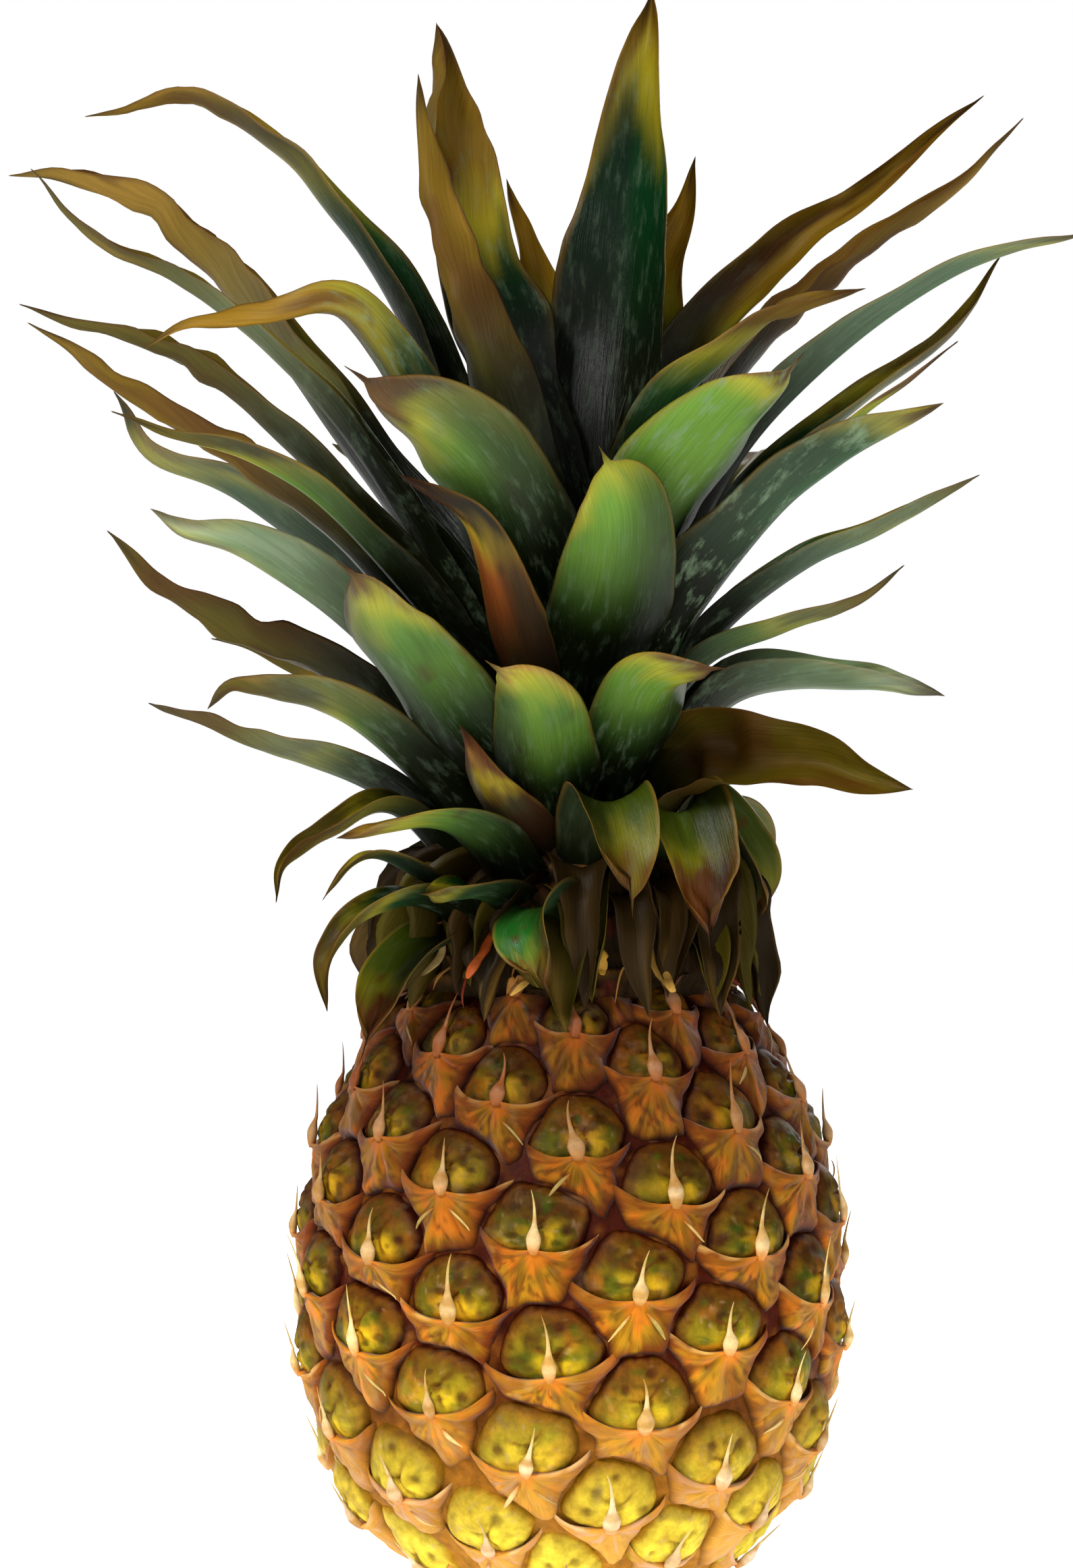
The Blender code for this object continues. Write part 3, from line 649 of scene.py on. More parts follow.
# name: azimuth and height of the foot, midrib points (x, y, z), width, cupping, fullness, roll at foot
# and tip, then body colour at the foot and further out, where the dry end starts, its colour, bloom,
# underside paleness
LEAVES = {
    "leaf_arching_left": (140, 206, ((-32, 20, 274), (-59, 34, 311), (-84, 44, 327), (-107, 50, 322)),
        18, 0.35, 1.8, 0, 30, "deep", "green", 0.72, "khaki", 0.1, 0.2),
    "leaf_far_left_broad": (154, 200, ((-42, 21, 245), (-68, 27, 280), (-95, 29, 303), (-122, 29, 309)),
        20, 0.45, 2.0, 0, 20, "deep", "light", 0.55, "khaki", 0.1, 0.5),
    "leaf_far_left_slim": (172, 194, ((-45, 4, 249), (-75, 5, 278), (-100, 5, 292), (-116, 5, 306)),
        12, 0.4, 1.6, 0, 0, "deep", "dull", 0.6, "olive", 0.4, 0.9),
    "leaf_folded_left": (232, 207, ((-28, -30, 248), (-45, -42, 272), (-65, -44, 272), (-88, -44, 265)),
        16, 0.3, 2.0, 0, 40, "deep", "green", 0.62, "gold", 0.7, 0.2),
    "leaf_front_left_brown_tip": (258, 199, ((-12, -34, 228), (-24, -48, 246), (-47, -56, 259)),
        25, 0.2, 2.8, 0, 0, "green", "light", 0.8, "brown", 0.3, 0.3),
    "leaf_left_long_slim": (185, 187, ((-35, -6, 222), (-60, -8, 249), (-82, -9, 266), (-117, -9, 276)),
        15, 0.35, 1.8, 0, 10, "deep", "dull", 0.5, "olive", 0.2, 0.5),
    "leaf_left_olive": (192, 180, ((-40, -13, 220), (-62, -17, 239), (-90, -19, 256), (-114, -19, 272)),
        16, 0.35, 1.8, 0, 20, "deep", "dull", 0.45, "khaki", 0.1, 0.3),
    "leaf_left_slim": (214, 188, ((-42, -33, 226), (-62, -38, 241), (-82, -40, 247), (-95, -40, 252)),
        14, 0.3, 1.4, 0, 0, "deep", "light", 0.75, "olive", 0.1, 0.2),
    "leaf_left_hooked": (174, 172, ((-40, 7, 215), (-68, 11, 237), (-91, 11, 246), (-98, 11, 259)),
        18, 0.4, 2.2, 0, 0, "green", "deep", 0.8, "dark", 0.2, 0.8),
    "leaf_left_pale": (217, 174, ((-40, -26, 207), (-62, -32, 222), (-80, -34, 228), (-87, -34, 232)),
        19, 0.38, 2.6, 0, 0, "green", "pale", 0.88, "khaki", 0.5, 0.8),
    "leaf_front_left_big": (241, 170, ((-26, -36, 190), (-38, -50, 206), (-48, -58, 220)),
        25, 0.2, 3.0, 0, 0, "green", "light", 0.88, "brown", 0.3, 0.3),
    "leaf_left_low_olive": (200, 163, ((-42, -13, 194), (-66, -16, 206), (-84, -18, 215), (-98, -20, 227)),
        16, 0.35, 2.0, 0, 10, "deep", "dull", 0.4, "olive", 0.1, 0.3),
    "leaf_left_low_hidden": (172, 160, ((-42, 8, 191), (-60, 10, 200), (-77, 10, 206)),
        14, 0.35, 1.6, 0, 0, "deep", "dull", 0.5, "olive", 0.1, 0.3),
    "leaf_left_low_folded": (216, 158, ((-36, -24, 183), (-52, -32, 193), (-69, -36, 196), (-75, -36, 190)),
        17, 0.35, 2.6, 0, 0, "deep", "light", 0.7, "olive", 0.3, 0.4),
    "leaf_left_lowest": (188, 155, ((-38, -8, 174), (-58, -10, 182), (-76, -12, 187), (-89, -12, 192)),
        15, 0.35, 1.8, 0, 0, "deep", "fresh", 0.6, "olive", 0.4, 0.9),
    "leaf_left_droop_hook": (197, 148, ((-36, -20, 170), (-50, -28, 166), (-60, -32, 158), (-62, -34, 150)),
        12, 0.3, 2.0, 0, 0, "deep", "dull", 0.6, "olive", 0.1, 0.4),
    "leaf_front_left_arch": (236, 150, ((-18, -36, 163), (-30, -47, 168), (-48, -52, 163)),
        15, 0.2, 2.0, 0, 0, "green", "light", 0.85, "straw", 0.2, 0.3),
    "leaf_left_dark_arch": (210, 145, ((-33, -28, 157), (-43, -34, 160), (-51, -36, 150)),
        9, 0.2, 2.0, 0, 0, "deep", "deep", 0.8, "olive", 0.1, 0.2),
    "leaf_left_droop_big": (224, 141, ((-30, -34, 151), (-42, -45, 149), (-51, -50, 139), (-50, -50, 128)),
        14, 0.2, 2.0, 0, 0, "deep", "green", 0.7, "olive", 0.2, 0.2),
    "leaf_front_small_dome": (242, 145, ((-18, -36, 153), (-31, -52, 152)),
        12, 0.2, 2.6, 0, 0, "green", "fresh", 0.8, "olive", 0.2, 0.2),
    "leaf_front_droop_olive": (276, 140, ((-5, -34, 150), (-10, -46, 144), (-3, -50, 129)),
        14, 0.2, 2.0, 0, 0, "dull", "fresh", 0.6, "olive", 0.1, 0.2),
    "leaf_left_droop_shoulder": (196, 140, ((-28, -25, 143), (-38, -35, 134), (-43, -40, 116)),
        12, 0.2, 2.0, 0, 0, "dull", "dull", 0.3, "brown", 0.1, 0.2),
    "leaf_centre_left_brown": (238, 214, ((-13, -10, 250), (-25, -8, 285), (-31, -4, 308), (-33, -2, 326)),
        22, 0.2, 2.0, 0, -15, "deep", "green", 0.38, "khaki", 0.1, 0.2),
    "leaf_back_left_broad": (138, 217, ((-11, 10, 250), (-21, 16, 285), (-26, 21, 312), (-30, 23, 340)),
        34, 0.2, 3.2, 0, 0, "deep", "deep", 0.7, "khaki", 0.3, 0.2),
    "leaf_back_left_second": (105, 210, ((-2, 30, 255), (-6, 38, 280), (-13, 42, 308)),
        22, 0.2, 2.0, 0, 0, "deep", "deep", 0.7, "gold", 0.1, 0.2),
    "leaf_back_right_broad": (52, 217, ((7, 18, 250), (12, 26, 290), (18, 30, 348)),
        37, 0.2, 2.2, 0, 0, "deep", "deep", 0.86, "khaki", 0.2, 0.2),
    "leaf_back_right_second": (78, 205, ((14, 34, 250), (20, 42, 285), (29, 46, 313)),
        26, 0.2, 2.0, 0, 0, "deep", "green", 0.75, "gold", 0.1, 0.2),
    "leaf_right_khaki": (41, 205, ((23, 24, 262), (46, 35, 290), (67, 39, 307), (91, 42, 327)),
        19, 0.3, 2.0, 0, 60, "deep", "deep", 0.52, "khaki", 0.1, 0.2),
    "leaf_right_brown": (13, 202, ((32, 6, 259), (56, 10, 284), (80, 12, 302), (98, 14, 318)),
        13, 0.35, 1.8, 0, 20, "deep", "dull", 0.4, "khaki", 0.1, 0.2),
    "leaf_right_folded": (-30, 204, ((14, -16, 246), (32, -26, 266), (47, -32, 275), (61, -34, 278)),
        17, 0.3, 2.0, 0, 0, "deep", "fresh", 0.7, "khaki", 0.3, 0.2),
    "leaf_front_right_oval": (-52, 198, ((16, -30, 228), (30, -45, 247), (48, -58, 262)),
        27, 0.2, 3.0, 0, 0, "deep", "light", 0.93, "brown", 0.8, 0.2),
    "leaf_right_long": (-7, 196, ((30, -6, 240), (52, -6, 265), (80, -6, 284), (112, -6, 294)),
        15, 0.4, 1.6, 0, 0, "deep", "green", 0.88, "olive", 0.2, 0.9),
    "leaf_right_twisted": (4, 187, ((34, 2, 232), (60, 2, 256), (80, 2, 270), (94, 2, 288)),
        13, 0.35, 1.8, 0, 40, "deep", "green", 0.72, "olive", 0.2, 0.3),
    "leaf_right_slim": (-22, 191, ((40, -17, 237), (60, -19, 251), (81, -19, 268)),
        7, 0.3, 1.6, 0, 0, "green", "light", 0.85, "brown", 0.1, 0.3),
    "leaf_right_pale_broad": (-32, 184, ((22, -22, 211), (40, -31, 233), (58, -35, 245), (77, -36, 254)),
        22, 0.35, 2.6, 0, 0, "deep", "green", 0.9, "khaki", 1.0, 0.4),
    "leaf_right_curved": (-5, 178, ((28, -4, 206), (48, -6, 222), (66, -6, 230), (87, -6, 240)),
        15, 0.35, 1.8, 0, 0, "deep", "green", 0.8, "olive", 0.4, 0.9),
    "leaf_right_low_slim": (-35, 171, ((25, -22, 199), (44, -23, 208), (60, -23, 213), (70, -23, 220)),
        10, 0.35, 1.8, 0, 0, "green", "light", 0.7, "olive", 0.2, 0.6),
    "leaf_right_low_pale": (-4, 163, ((22, -5, 183), (34, -9, 196), (54, -12, 198), (79, -12, 193)),
        19, 0.4, 2.0, 0, 0, "deep", "pale", 0.88, "brown", 0.8, 0.9),
    "leaf_right_low_olive": (-37, 154, ((22, -25, 177), (44, -34, 180), (71, -36, 174)),
        26, 0.2, 2.0, 10, 80, "dull", "dull", 0.25, "olive", 0.1, 0.2),
    "leaf_right_droop_back": (0, 148, ((28, -4, 172), (38, -6, 162), (41, -6, 151), (37, -6, 139)),
        14, 0.2, 2.0, 0, 0, "dull", "dull", 0.35, "brown", 0.1, 0.2),
    "leaf_right_droop_mid": (-44, 146, ((22, -32, 171), (27, -42, 158), (29, -45, 139)),
        17, 0.2, 2.0, 0, 0, "dull", "dull", 0.5, "brown", 0.1, 0.2),
    "leaf_front_droop": (-76, 148, ((7, -37, 172), (11, -47, 163), (12, -50, 147)),
        16, 0.2, 2.0, 0, 0, "dull", "dull", 0.6, "olive", 0.1, 0.2),
    "leaf_front_oval": (-82, 192, ((9, -38, 212), (11, -50, 230), (5, -58, 243)),
        25, 0.2, 3.0, 0, 0, "fresh", "light", 0.93, "brown", 0.2, 0.2),
    "leaf_front_low_left": (-105, 164, ((-6, -40, 181), (-9, -54, 193), (-17, -60, 200)),
        19, 0.2, 2.6, 0, 0, "green", "light", 0.93, "straw", 0.2, 0.2),
    "leaf_front_low_right": (-62, 168, ((13, -31, 184), (19, -45, 197), (32, -51, 197)),
        20, 0.2, 2.6, 0, 0, "green", "light", 0.85, "brown", 0.4, 0.2),
    "leaf_dried_brown": (242, 183, ((-13, -34, 211), (-20, -46, 228), (-35, -51, 238)),
        18, 0.2, 2.0, 0, 0, "maroon", "amber", 0.75, "dark", 0.0, 0.1),
    "leaf_dried_low": (-92, 156, ((-15, -34, 171), (-24, -42, 186)),
        16, 0.2, 2.0, 0, 0, "rust", "rust", 0.75, "rust", 0.0, 0.1),
    "leaf_rear_arching": (112, 190, ((-12, 40, 240), (-18, 68, 272), (-22, 92, 284)),
        20, 0.3, 2.0, 0, 0, "deep", "green", 0.8, "khaki", 0.2, 0.5),
    "leaf_rear_left_mid": (134, 184, ((-26, 30, 220), (-42, 56, 244), (-54, 78, 252)),
        19, 0.3, 2.0, 0, 0, "deep", "fresh", 0.7, "olive", 0.2, 0.6),
    "leaf_rear_right_mid": (48, 184, ((22, 30, 222), (38, 56, 245), (50, 80, 250)),
        19, 0.3, 2.0, 0, 0, "deep", "green", 0.75, "khaki", 0.3, 0.6),
    "leaf_rear_low_left": (124, 168, ((-20, 36, 190), (-32, 66, 204), (-40, 90, 204)),
        18, 0.3, 2.0, 0, 0, "deep", "light", 0.8, "olive", 0.3, 0.6),
    "leaf_rear_low_mid": (90, 172, ((1, 40, 197), (2, 72, 213), (4, 98, 211)),
        19, 0.3, 2.0, 0, 0, "deep", "green", 0.8, "gold", 0.2, 0.6),
    "leaf_rear_low_right": (58, 166, ((20, 36, 188), (32, 64, 200), (42, 88, 196)),
        18, 0.3, 2.0, 0, 0, "deep", "light", 0.75, "olive", 0.4, 0.6),
    "leaf_rear_droop_left": (118, 148, ((-16, 34, 166), (-26, 56, 168), (-32, 68, 150)),
        16, 0.25, 2.0, 0, 0, "dull", "dull", 0.6, "olive", 0.1, 0.3),
    "leaf_rear_droop_mid": (85, 146, ((2, 36, 164), (4, 60, 166), (5, 74, 148)),
        16, 0.25, 2.0, 0, 0, "dull", "fresh", 0.6, "brown", 0.1, 0.3),
    "leaf_rear_droop_right": (50, 148, ((22, 28, 166), (36, 46, 168), (46, 58, 150)),
        16, 0.25, 2.0, 0, 0, "dull", "dull", 0.5, "brown", 0.1, 0.3),
    "leaf_rear_upper_right": (62, 194, ((16, 34, 234), (28, 58, 262), (36, 80, 274)),
        19, 0.3, 2.0, 0, 0, "deep", "green", 0.8, "gold", 0.3, 0.5),
}


def smooth_path(points, count):
    """A smooth curve through the points, cut at even lengths."""
    fixed = np.array(points, float)
    fixed = np.vstack([2 * fixed[0] - fixed[1], fixed, 2 * fixed[-1] - fixed[-2]])
    t = np.linspace(0.0, 1.0, 40, endpoint=False)[:, None]
    spans = []
    for k in range(1, len(fixed) - 2):
        a, b, c, d = fixed[k - 1:k + 3]
        spans.append(0.5 * (2 * b + (c - a) * t + (2 * a - 5 * b + 4 * c - d) * t**2
                            + (3 * b - a - 3 * c + d) * t**3))
    line = np.vstack(spans + [fixed[-2:-1]])
    for _ in range(PATH_ROUNDS):
        line[1:-1] = 0.25 * line[:-2] + 0.5 * line[1:-1] + 0.25 * line[2:]
    gone = np.concatenate(([0.0], np.cumsum(np.linalg.norm(np.diff(line, axis=0), axis=1))))
    even = np.linspace(0.0, gone[-1], count)
    return np.stack([np.interp(even, gone, line[:, k]) for k in range(3)], axis=1), gone[-1]


def carry_frame(path, side):
    """Directions along a path, across it and up from it: the first side is carried on without
    turning."""
    along = np.gradient(path, axis=0)
    along /= np.linalg.norm(along, axis=1)[:, None]
    sides = []
    for forward in along:
        side = side - (side @ forward) * forward
        side = side / np.linalg.norm(side)
        sides.append(side)
    sides = np.array(sides)
    return along, sides, np.cross(along, sides)


def blade(points, side, width, cup, full, rolls, dry_from, number, rows=76, half_round=14, plump=False,
          ragged=0.0):
    """A channelled blade. A section is carried along the path: thick at the midrib, thin at the edges,
    its edges raised by the cup and waved by noise. It wraps its foot, and past dry_from it shrinks,
    rolls up and crinkles. A plump one stays broad until a short tail, and a ragged one is torn at its
    end, by that many millimetres. Gives the points, the two end points, the places along (S) and across
    (t), which face each point is on, how dry it is, the length, and half the width."""
    path, length = smooth_path(points, rows)
    along, sides, ups = carry_frame(path, side)
    s = np.linspace(0.0, 1.0, rows)
    loose = step(max(dry_from - 0.25, 0.45), 1.0, s)[:, None]
    stray_side = cloud(s * length / 15.0, 0.0, number * 2.7, 78)[:, None]
    stray_up = cloud(s * length / 12.0, 0.0, number * 3.9, 79)[:, None]
    path = path + loose * (1.7 * stray_side * sides + 1.5 * stray_up * ups)
    along, sides, ups = carry_frame(path, side)
    dry = step(dry_from, min(dry_from + 0.22, 1.0), s)
    lean = chance(number, 88) - 0.5
    turn = np.radians(rolls[0] + (rolls[1] - rolls[0]) * s + DRY_TWIST * lean * dry * s**2)[:, None]
    across = sides * np.cos(turn) + ups * np.sin(turn)
    rise = ups * np.cos(turn) - sides * np.sin(turn)
    closes = np.clip(s / (0.94 if plump else 1.0), 0.0, 1.0)
    body = FOOT_SHARE + (1.0 - FOOT_SHARE) * step(0.0, 0.45, s)
    body = body * (1.0 - closes**full) ** (0.5 if plump else 0.85)
    body = np.maximum(body, 0.16 * (1.0 - s**9)) if plump else body
    half = np.maximum(0.5 * width * body * (1.0 - 0.22 * dry), THINNEST)
    t_half = np.sin(np.linspace(-0.5, 0.5, half_round) * math.pi)
    t = np.concatenate([t_half, t_half[-2:0:-1]])[None, :]
    face = np.ones(half_round - 2)
    sign = np.concatenate([[0.0], face, [0.0], -face])[None, :]
    S, H, D = s[:, None], half[:, None], dry[:, None]
    cupping = cup + 0.25 * step(0.35, 0.0, S) + 0.30 * D
    ease = np.minimum(H / (0.3 * width), 1.0)
    wave = 0.07 * width * cloud(S * length / 15.0, np.sign(t) * 3.0, number * 3.7, 81) * np.abs(t) ** 2
    wave = wave + 0.03 * width * cloud(S * length / 26.0, t * 1.2, number * 6.1, 80)
    wave = wave + D * 0.13 * width * cloud(S * length / 6.0, t * 1.8, number * 5.3, 82)
    lift = H * cupping * (2.0 * np.abs(t) ** 1.7 - 1.0) + wave * ease
    thick = np.minimum(0.8, 0.35 * H) * (1.0 - np.abs(t) ** 2.5) * (1.0 - 0.6 * S) + 0.12
    thick = thick * np.minimum(H / 0.6, 1.0)
    rib = 0.05 * np.cos(t * 22.0) * (1.0 - np.abs(t)) * ease
    out = H * t * (1.0 - 0.18 * cupping * np.abs(t) ** 2)
    out = out * (1.0 + 0.025 * cloud(S * length / 5.0, np.sign(t) * 7.0, number * 2.9, 83))
    offset = lift + sign * thick + rib
    shape = path[:, None] + across[:, None] * out[..., None] + rise[:, None] * offset[..., None]
    torn = ragged * step(0.55, 1.0, S) * (0.5 + 0.5 * cloud(t * 7.0, 0.0, number * 8.7, 77))
    shape = shape - along[:, None] * torn[..., None]
    ends = np.stack([path[0], path[-1] + along[-1] * 0.5])
    return shape, ends, S, t, sign, D * np.ones_like(t), length, H


def blade_faces(rows, around, start=0):
    """Faces of one blade: its rings, and a fan over each end."""
    block = rows * around
    return [ring_faces(rows, around)[:, ::-1] + start, fan_faces(0, around, block, False) + start,
            fan_faces(block - around, around, block + 1, True) + start]


def stem_start(azimuth, height, stands=0.6):
    """A point on the crown's stem, and the level direction across it."""
    turned = math.radians(azimuth)
    away = np.interp(height, [p[0] for p in STEM], [p[1] for p in STEM]) + stands
    start = (away * math.cos(turned), away * math.sin(turned), height)
    return start, np.array([-math.sin(turned), math.cos(turned), 0.0])


# The shade in a leaf's foot, as shares of its length: full up to the first, gone at the second
DARK_FROM = {"fresh": 0.34, "green": 0.32, "deep": 0.36}
DARK_TO = {"fresh": 0.88, "green": 0.9, "rust": 0.6, "maroon": 0.5}


def leaf_colour(S, t, sign, dried, number, near, far_tone, dry_from, dry_tone, paler):
    """A leaf's tints: dark in its shaded foot, brighter outwards, a yellow band where it starts to dry,
    then mottled dry browns, with a darker point, a thin brown edge, one half darker than the other as
    painted shade of the cupped channel, and a paler underside. A pale leaf is whitened on both faces."""
    flat = np.ones_like(S * t)
    dull = near == "dull"
    wander = 0.09 * cloud(S * 4.0, t * 2.0, number * 1.9, 84)
    wander = wander + 0.04 * cloud(S * 12.0, t * 7.0, number * 7.7, 85)
    cloudy = cloud(S * 7.0, t * 1.6, number * 2.2, 99)
    outwards = step(0.22, 0.66, S + wander + 0.1 * t * (chance(number, 98) - 0.5))
    fresh = coats(GREENS[near], (GREENS[far_tone], outwards),
                  (GREENS["green"], (0.1 if dull else 0.35) * step(0.1, 0.8, cloudy)))
    fresh = fresh * (1.0 + 0.12 * cloud(t * 9.0 + 0.4 * S, S * 1.5, number * 4.4, 86)[..., None])
    late = S + 1.3 * wander + 0.07 * np.abs(t) ** 3
    patch = cloud(S * 7.0, t * 2.2, number * 9.1, 87)
    dry_colour = coats(DRIES[dry_tone], (DRIES["brown"], 0.7 * step(-0.1, 0.7, patch)),
                       (DRIES["straw"], 0.45 * step(0.25, 0.9, -patch)))
    blemish = step(0.62, 0.8, cloud(S * 16.0, t * 3.0, number * 8.3, 89))
    colour = coats(
        fresh, (GREENS["yellow"], (0.2 if dull else 0.6) * step(dry_from - 0.16, dry_from, late)),
        (dry_colour, step(dry_from - 0.03, dry_from + 0.08, late)),
        (DRIES["dark"], 0.75 * step(0.90, 0.99, S + 0.5 * wander)),
        (DRIES["brown"], 0.6 * blemish * step(0.3, 0.6, S)))
    hand = 1.0 if chance(number, 97) > 0.5 else -1.0
    # Painted shade: one half of the channel, beside the midrib, is darkened as if it were in shade.
    painted_channel_shade = step(-0.1, 0.5, t * hand + 0.15 * cloudy) * step(1.0, 0.75, S)
    colour = colour * (1.0 - 0.68 * painted_channel_shade * (1.0 - 0.6 * dried))[..., None]
    margin = step(0.88, 1.0, np.abs(t)) * step(0.1, 0.4, S)
    colour = mix(colour, mix(DRIES["straw"], DRIES["brown"], 0.4 + 0.6 * dried), 0.5 * margin)
    silver = mix(colour, tone(104, 122, 96), paler * 0.5 * (1.0 - 0.75 * dried) * flat)
    whitened = (0.05 + 0.42 * step(-0.2, 0.5, cloudy)) * (1.0 - 0.7 * dried) * flat
    silver = mix(silver, tone(146, 158, 128), whitened) if far_tone == "pale" else silver
    back = (sign < 0) | (far_tone == "pale")
    colour = np.where((back * flat > 0.5)[..., None], silver, colour)
    shaded = step(DARK_TO.get(near, 0.70), DARK_FROM.get(near, 0.14), S)
    return mix(colour, tone(7, 9, 1), 0.97 * shaded * flat)


# Leaves that droop over the fruit: fuller, dry only near the end, and torn there
HANGING = ("leaf_front_droop", "leaf_right_droop_mid", "leaf_right_droop_back",
           "leaf_front_droop_olive", "leaf_left_droop_shoulder", "leaf_rear_droop_left",
           "leaf_rear_droop_mid", "leaf_rear_droop_right")

# Leaves that turn their face outwards more than their solids: roll at the foot and the tip
FACED = {"leaf_right_low_olive": (40, 92)}

# Leaves that bulge and stay broad until a short dried tail
PLUMP = ("leaf_front_left_brown_tip", "leaf_front_left_big", "leaf_front_right_oval", "leaf_front_oval",
         "leaf_front_low_left", "leaf_front_low_right", "leaf_front_small_dome")

# How many times wider than their solids some leaves are made, so that the crown has no gaps
WIDENED = {"leaf_front_droop": 1.2, "leaf_right_droop_mid": 1.15, "leaf_right_droop_back": 1.15,
           "leaf_left_droop_shoulder": 1.2, "leaf_front_droop_olive": 1.2, "leaf_left_droop_big": 1.2,
           "leaf_front_left_arch": 1.35, "leaf_rear_droop_left": 1.2, "leaf_rear_droop_mid": 1.2,
           "leaf_rear_droop_right": 1.2, "leaf_front_oval": 1.12, "leaf_front_left_big": 1.16,
           "leaf_front_right_oval": 1.2, "leaf_front_left_brown_tip": 1.16, "leaf_front_low_left": 1.3,
           "leaf_front_low_right": 1.2, "leaf_front_small_dome": 1.3,
           "leaf_back_right_broad": 1.1, "leaf_right_low_olive": 1.3,
           "leaf_right_low_pale": 1.15, "leaf_left_pale": 1.15}


def build_leaf(name, row, number, skin):
    """One crown leaf, standing for the CAD solid of the same name."""
    azimuth, foot, points, width, cup, full, roll_foot, roll_tip = row[:8]
    near, far_tone, dry_from, dry_tone, bloom, paler = row[8:]
    start, side = stem_start(azimuth, foot)
    width = width * WIDENED.get(name, 1.0)
    roll_foot, roll_tip = FACED.get(name, (roll_foot, roll_tip))
    full = full * (1.35 if name in PLUMP else 2.2 if name in HANGING else 1.0)
    dry_from = max(dry_from, 0.78) if name in HANGING else dry_from
    shape, ends, S, t, sign, dried, length, half = blade(
        (start,) + points, side, width, cup + 0.08, full, (roll_foot, roll_tip), dry_from, number,
        plump=name in PLUMP or name in HANGING, ragged=7.0 if name in HANGING else 0.0)
    colour = leaf_colour(S, t, sign, dried, number, near, far_tone, dry_from, dry_tone, paler)
    rows, around = shape.shape[:2]
    uv = np.stack(np.broadcast_arrays(t * half + 20.0 * number, S * length), axis=-1).reshape(-1, 2)
    shape = np.vstack([shape.reshape(-1, 3), ends])
    made = add_piece(name + "_blade", shape, blade_faces(rows, around), skin,
                     np.vstack([colour.reshape(-1, 3), colour[0, :1], colour[-1, :1]]),
                     uv=np.vstack([uv, uv[:1], uv[-1:]]),
                     extra={"bloom": np.append(bloom * (1.0 - dried), [0.0, 0.0]),
                            "dryness": np.append(dried, [0.0, 1.0])})
    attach(made, "root")
    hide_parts(name)


# The heap of dead leaf feet round the stem: (height, radius)
FOOT_PROFILE = ((127.0, 28.0), (130.0, 33.0), (134.0, 35.0), (139.0, 34.5), (146.0, 32.0), (154.0, 28.0),
                (163.0, 23.5), (175.0, 18.5), (190.0, 14.0), (206.0, 10.5), (220.0, 7.5), (229.0, 3.5))


def build_crown_foot(skin):
    """The dark heap that the leaves grow from: a turned profile covered with overlapping leaf-foot
    scales. A scale is a tooth of height along each of many spirals: it swells upwards and ends in a
    sharp step."""
    rows, around = 120, 200
    s = np.linspace(0.0, 1.0, rows)[:, None]
    knots = np.linspace(0, 1, len(FOOT_PROFILE))
    heights = np.interp(s, knots, [p[0] for p in FOOT_PROFILE])
    radii = np.interp(s, knots, [p[1] for p in FOOT_PROFILE])
    turned = around_once(around)[None, :]
    lane = turned / (2.0 * math.pi) * 13.0 + heights / 34.0
    tooth = np.mod(heights / 11.0 + 0.618 * np.floor(lane), 1.0)
    ridge = np.abs(np.mod(lane, 1.0) - 0.5) * 2.0
    rough = cloud(np.cos(turned) * 9.0, np.sin(turned) * 9.0, heights / 4.0, 101)
    fine_rough = cloud(np.cos(turned) * 30.0, np.sin(turned) * 30.0, heights / 2.5, 102)
    tall = step(0.0, 0.08, s) * step(1.0, 0.85, s)
    swell = 2.2 * tooth * (1.0 - ridge**2) + 1.4 * rough + 0.7 * fine_rough
    radius = radii + tall * swell * radii / 34.0
    flat_x, flat_y = radius * np.cos(turned), radius * np.sin(turned)
    points = np.stack(np.broadcast_arrays(flat_x, flat_y, heights), axis=-1)
    # The heap's near-black brown is partly its own colour and partly painted shade in the crown's heart;
    # the notch above each scale's step is darkened further as painted shade.
    colour = coats(tone(34, 22, 5), (tone(62, 20, 8), step(0.0, 0.7, rough)),
                   (tone(88, 56, 16), 0.6 * step(0.75, 1.0, tooth) * step(-0.2, 0.5, fine_rough)),
                   (tone(12, 8, 2), 0.7 * step(0.25, 0.0, tooth)))
    block = rows * around
    ends = [[0.0, 0.0, heights[0, 0]], [0.0, 0.0, heights[-1, 0]]]
    points = np.concatenate([points.reshape(-1, 3), ends])
    colours = np.concatenate([colour.reshape(-1, 3), [colour[0, 0]], [colour[-1, 0]]])
    faces = [ring_faces(rows, around), fan_faces(0, around, block, True),
             fan_faces(block - around, around, block + 1, False)]
    made = add_piece("crown_foot", points, faces, skin, colours)
    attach(made, "root")
    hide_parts("crown_stem")


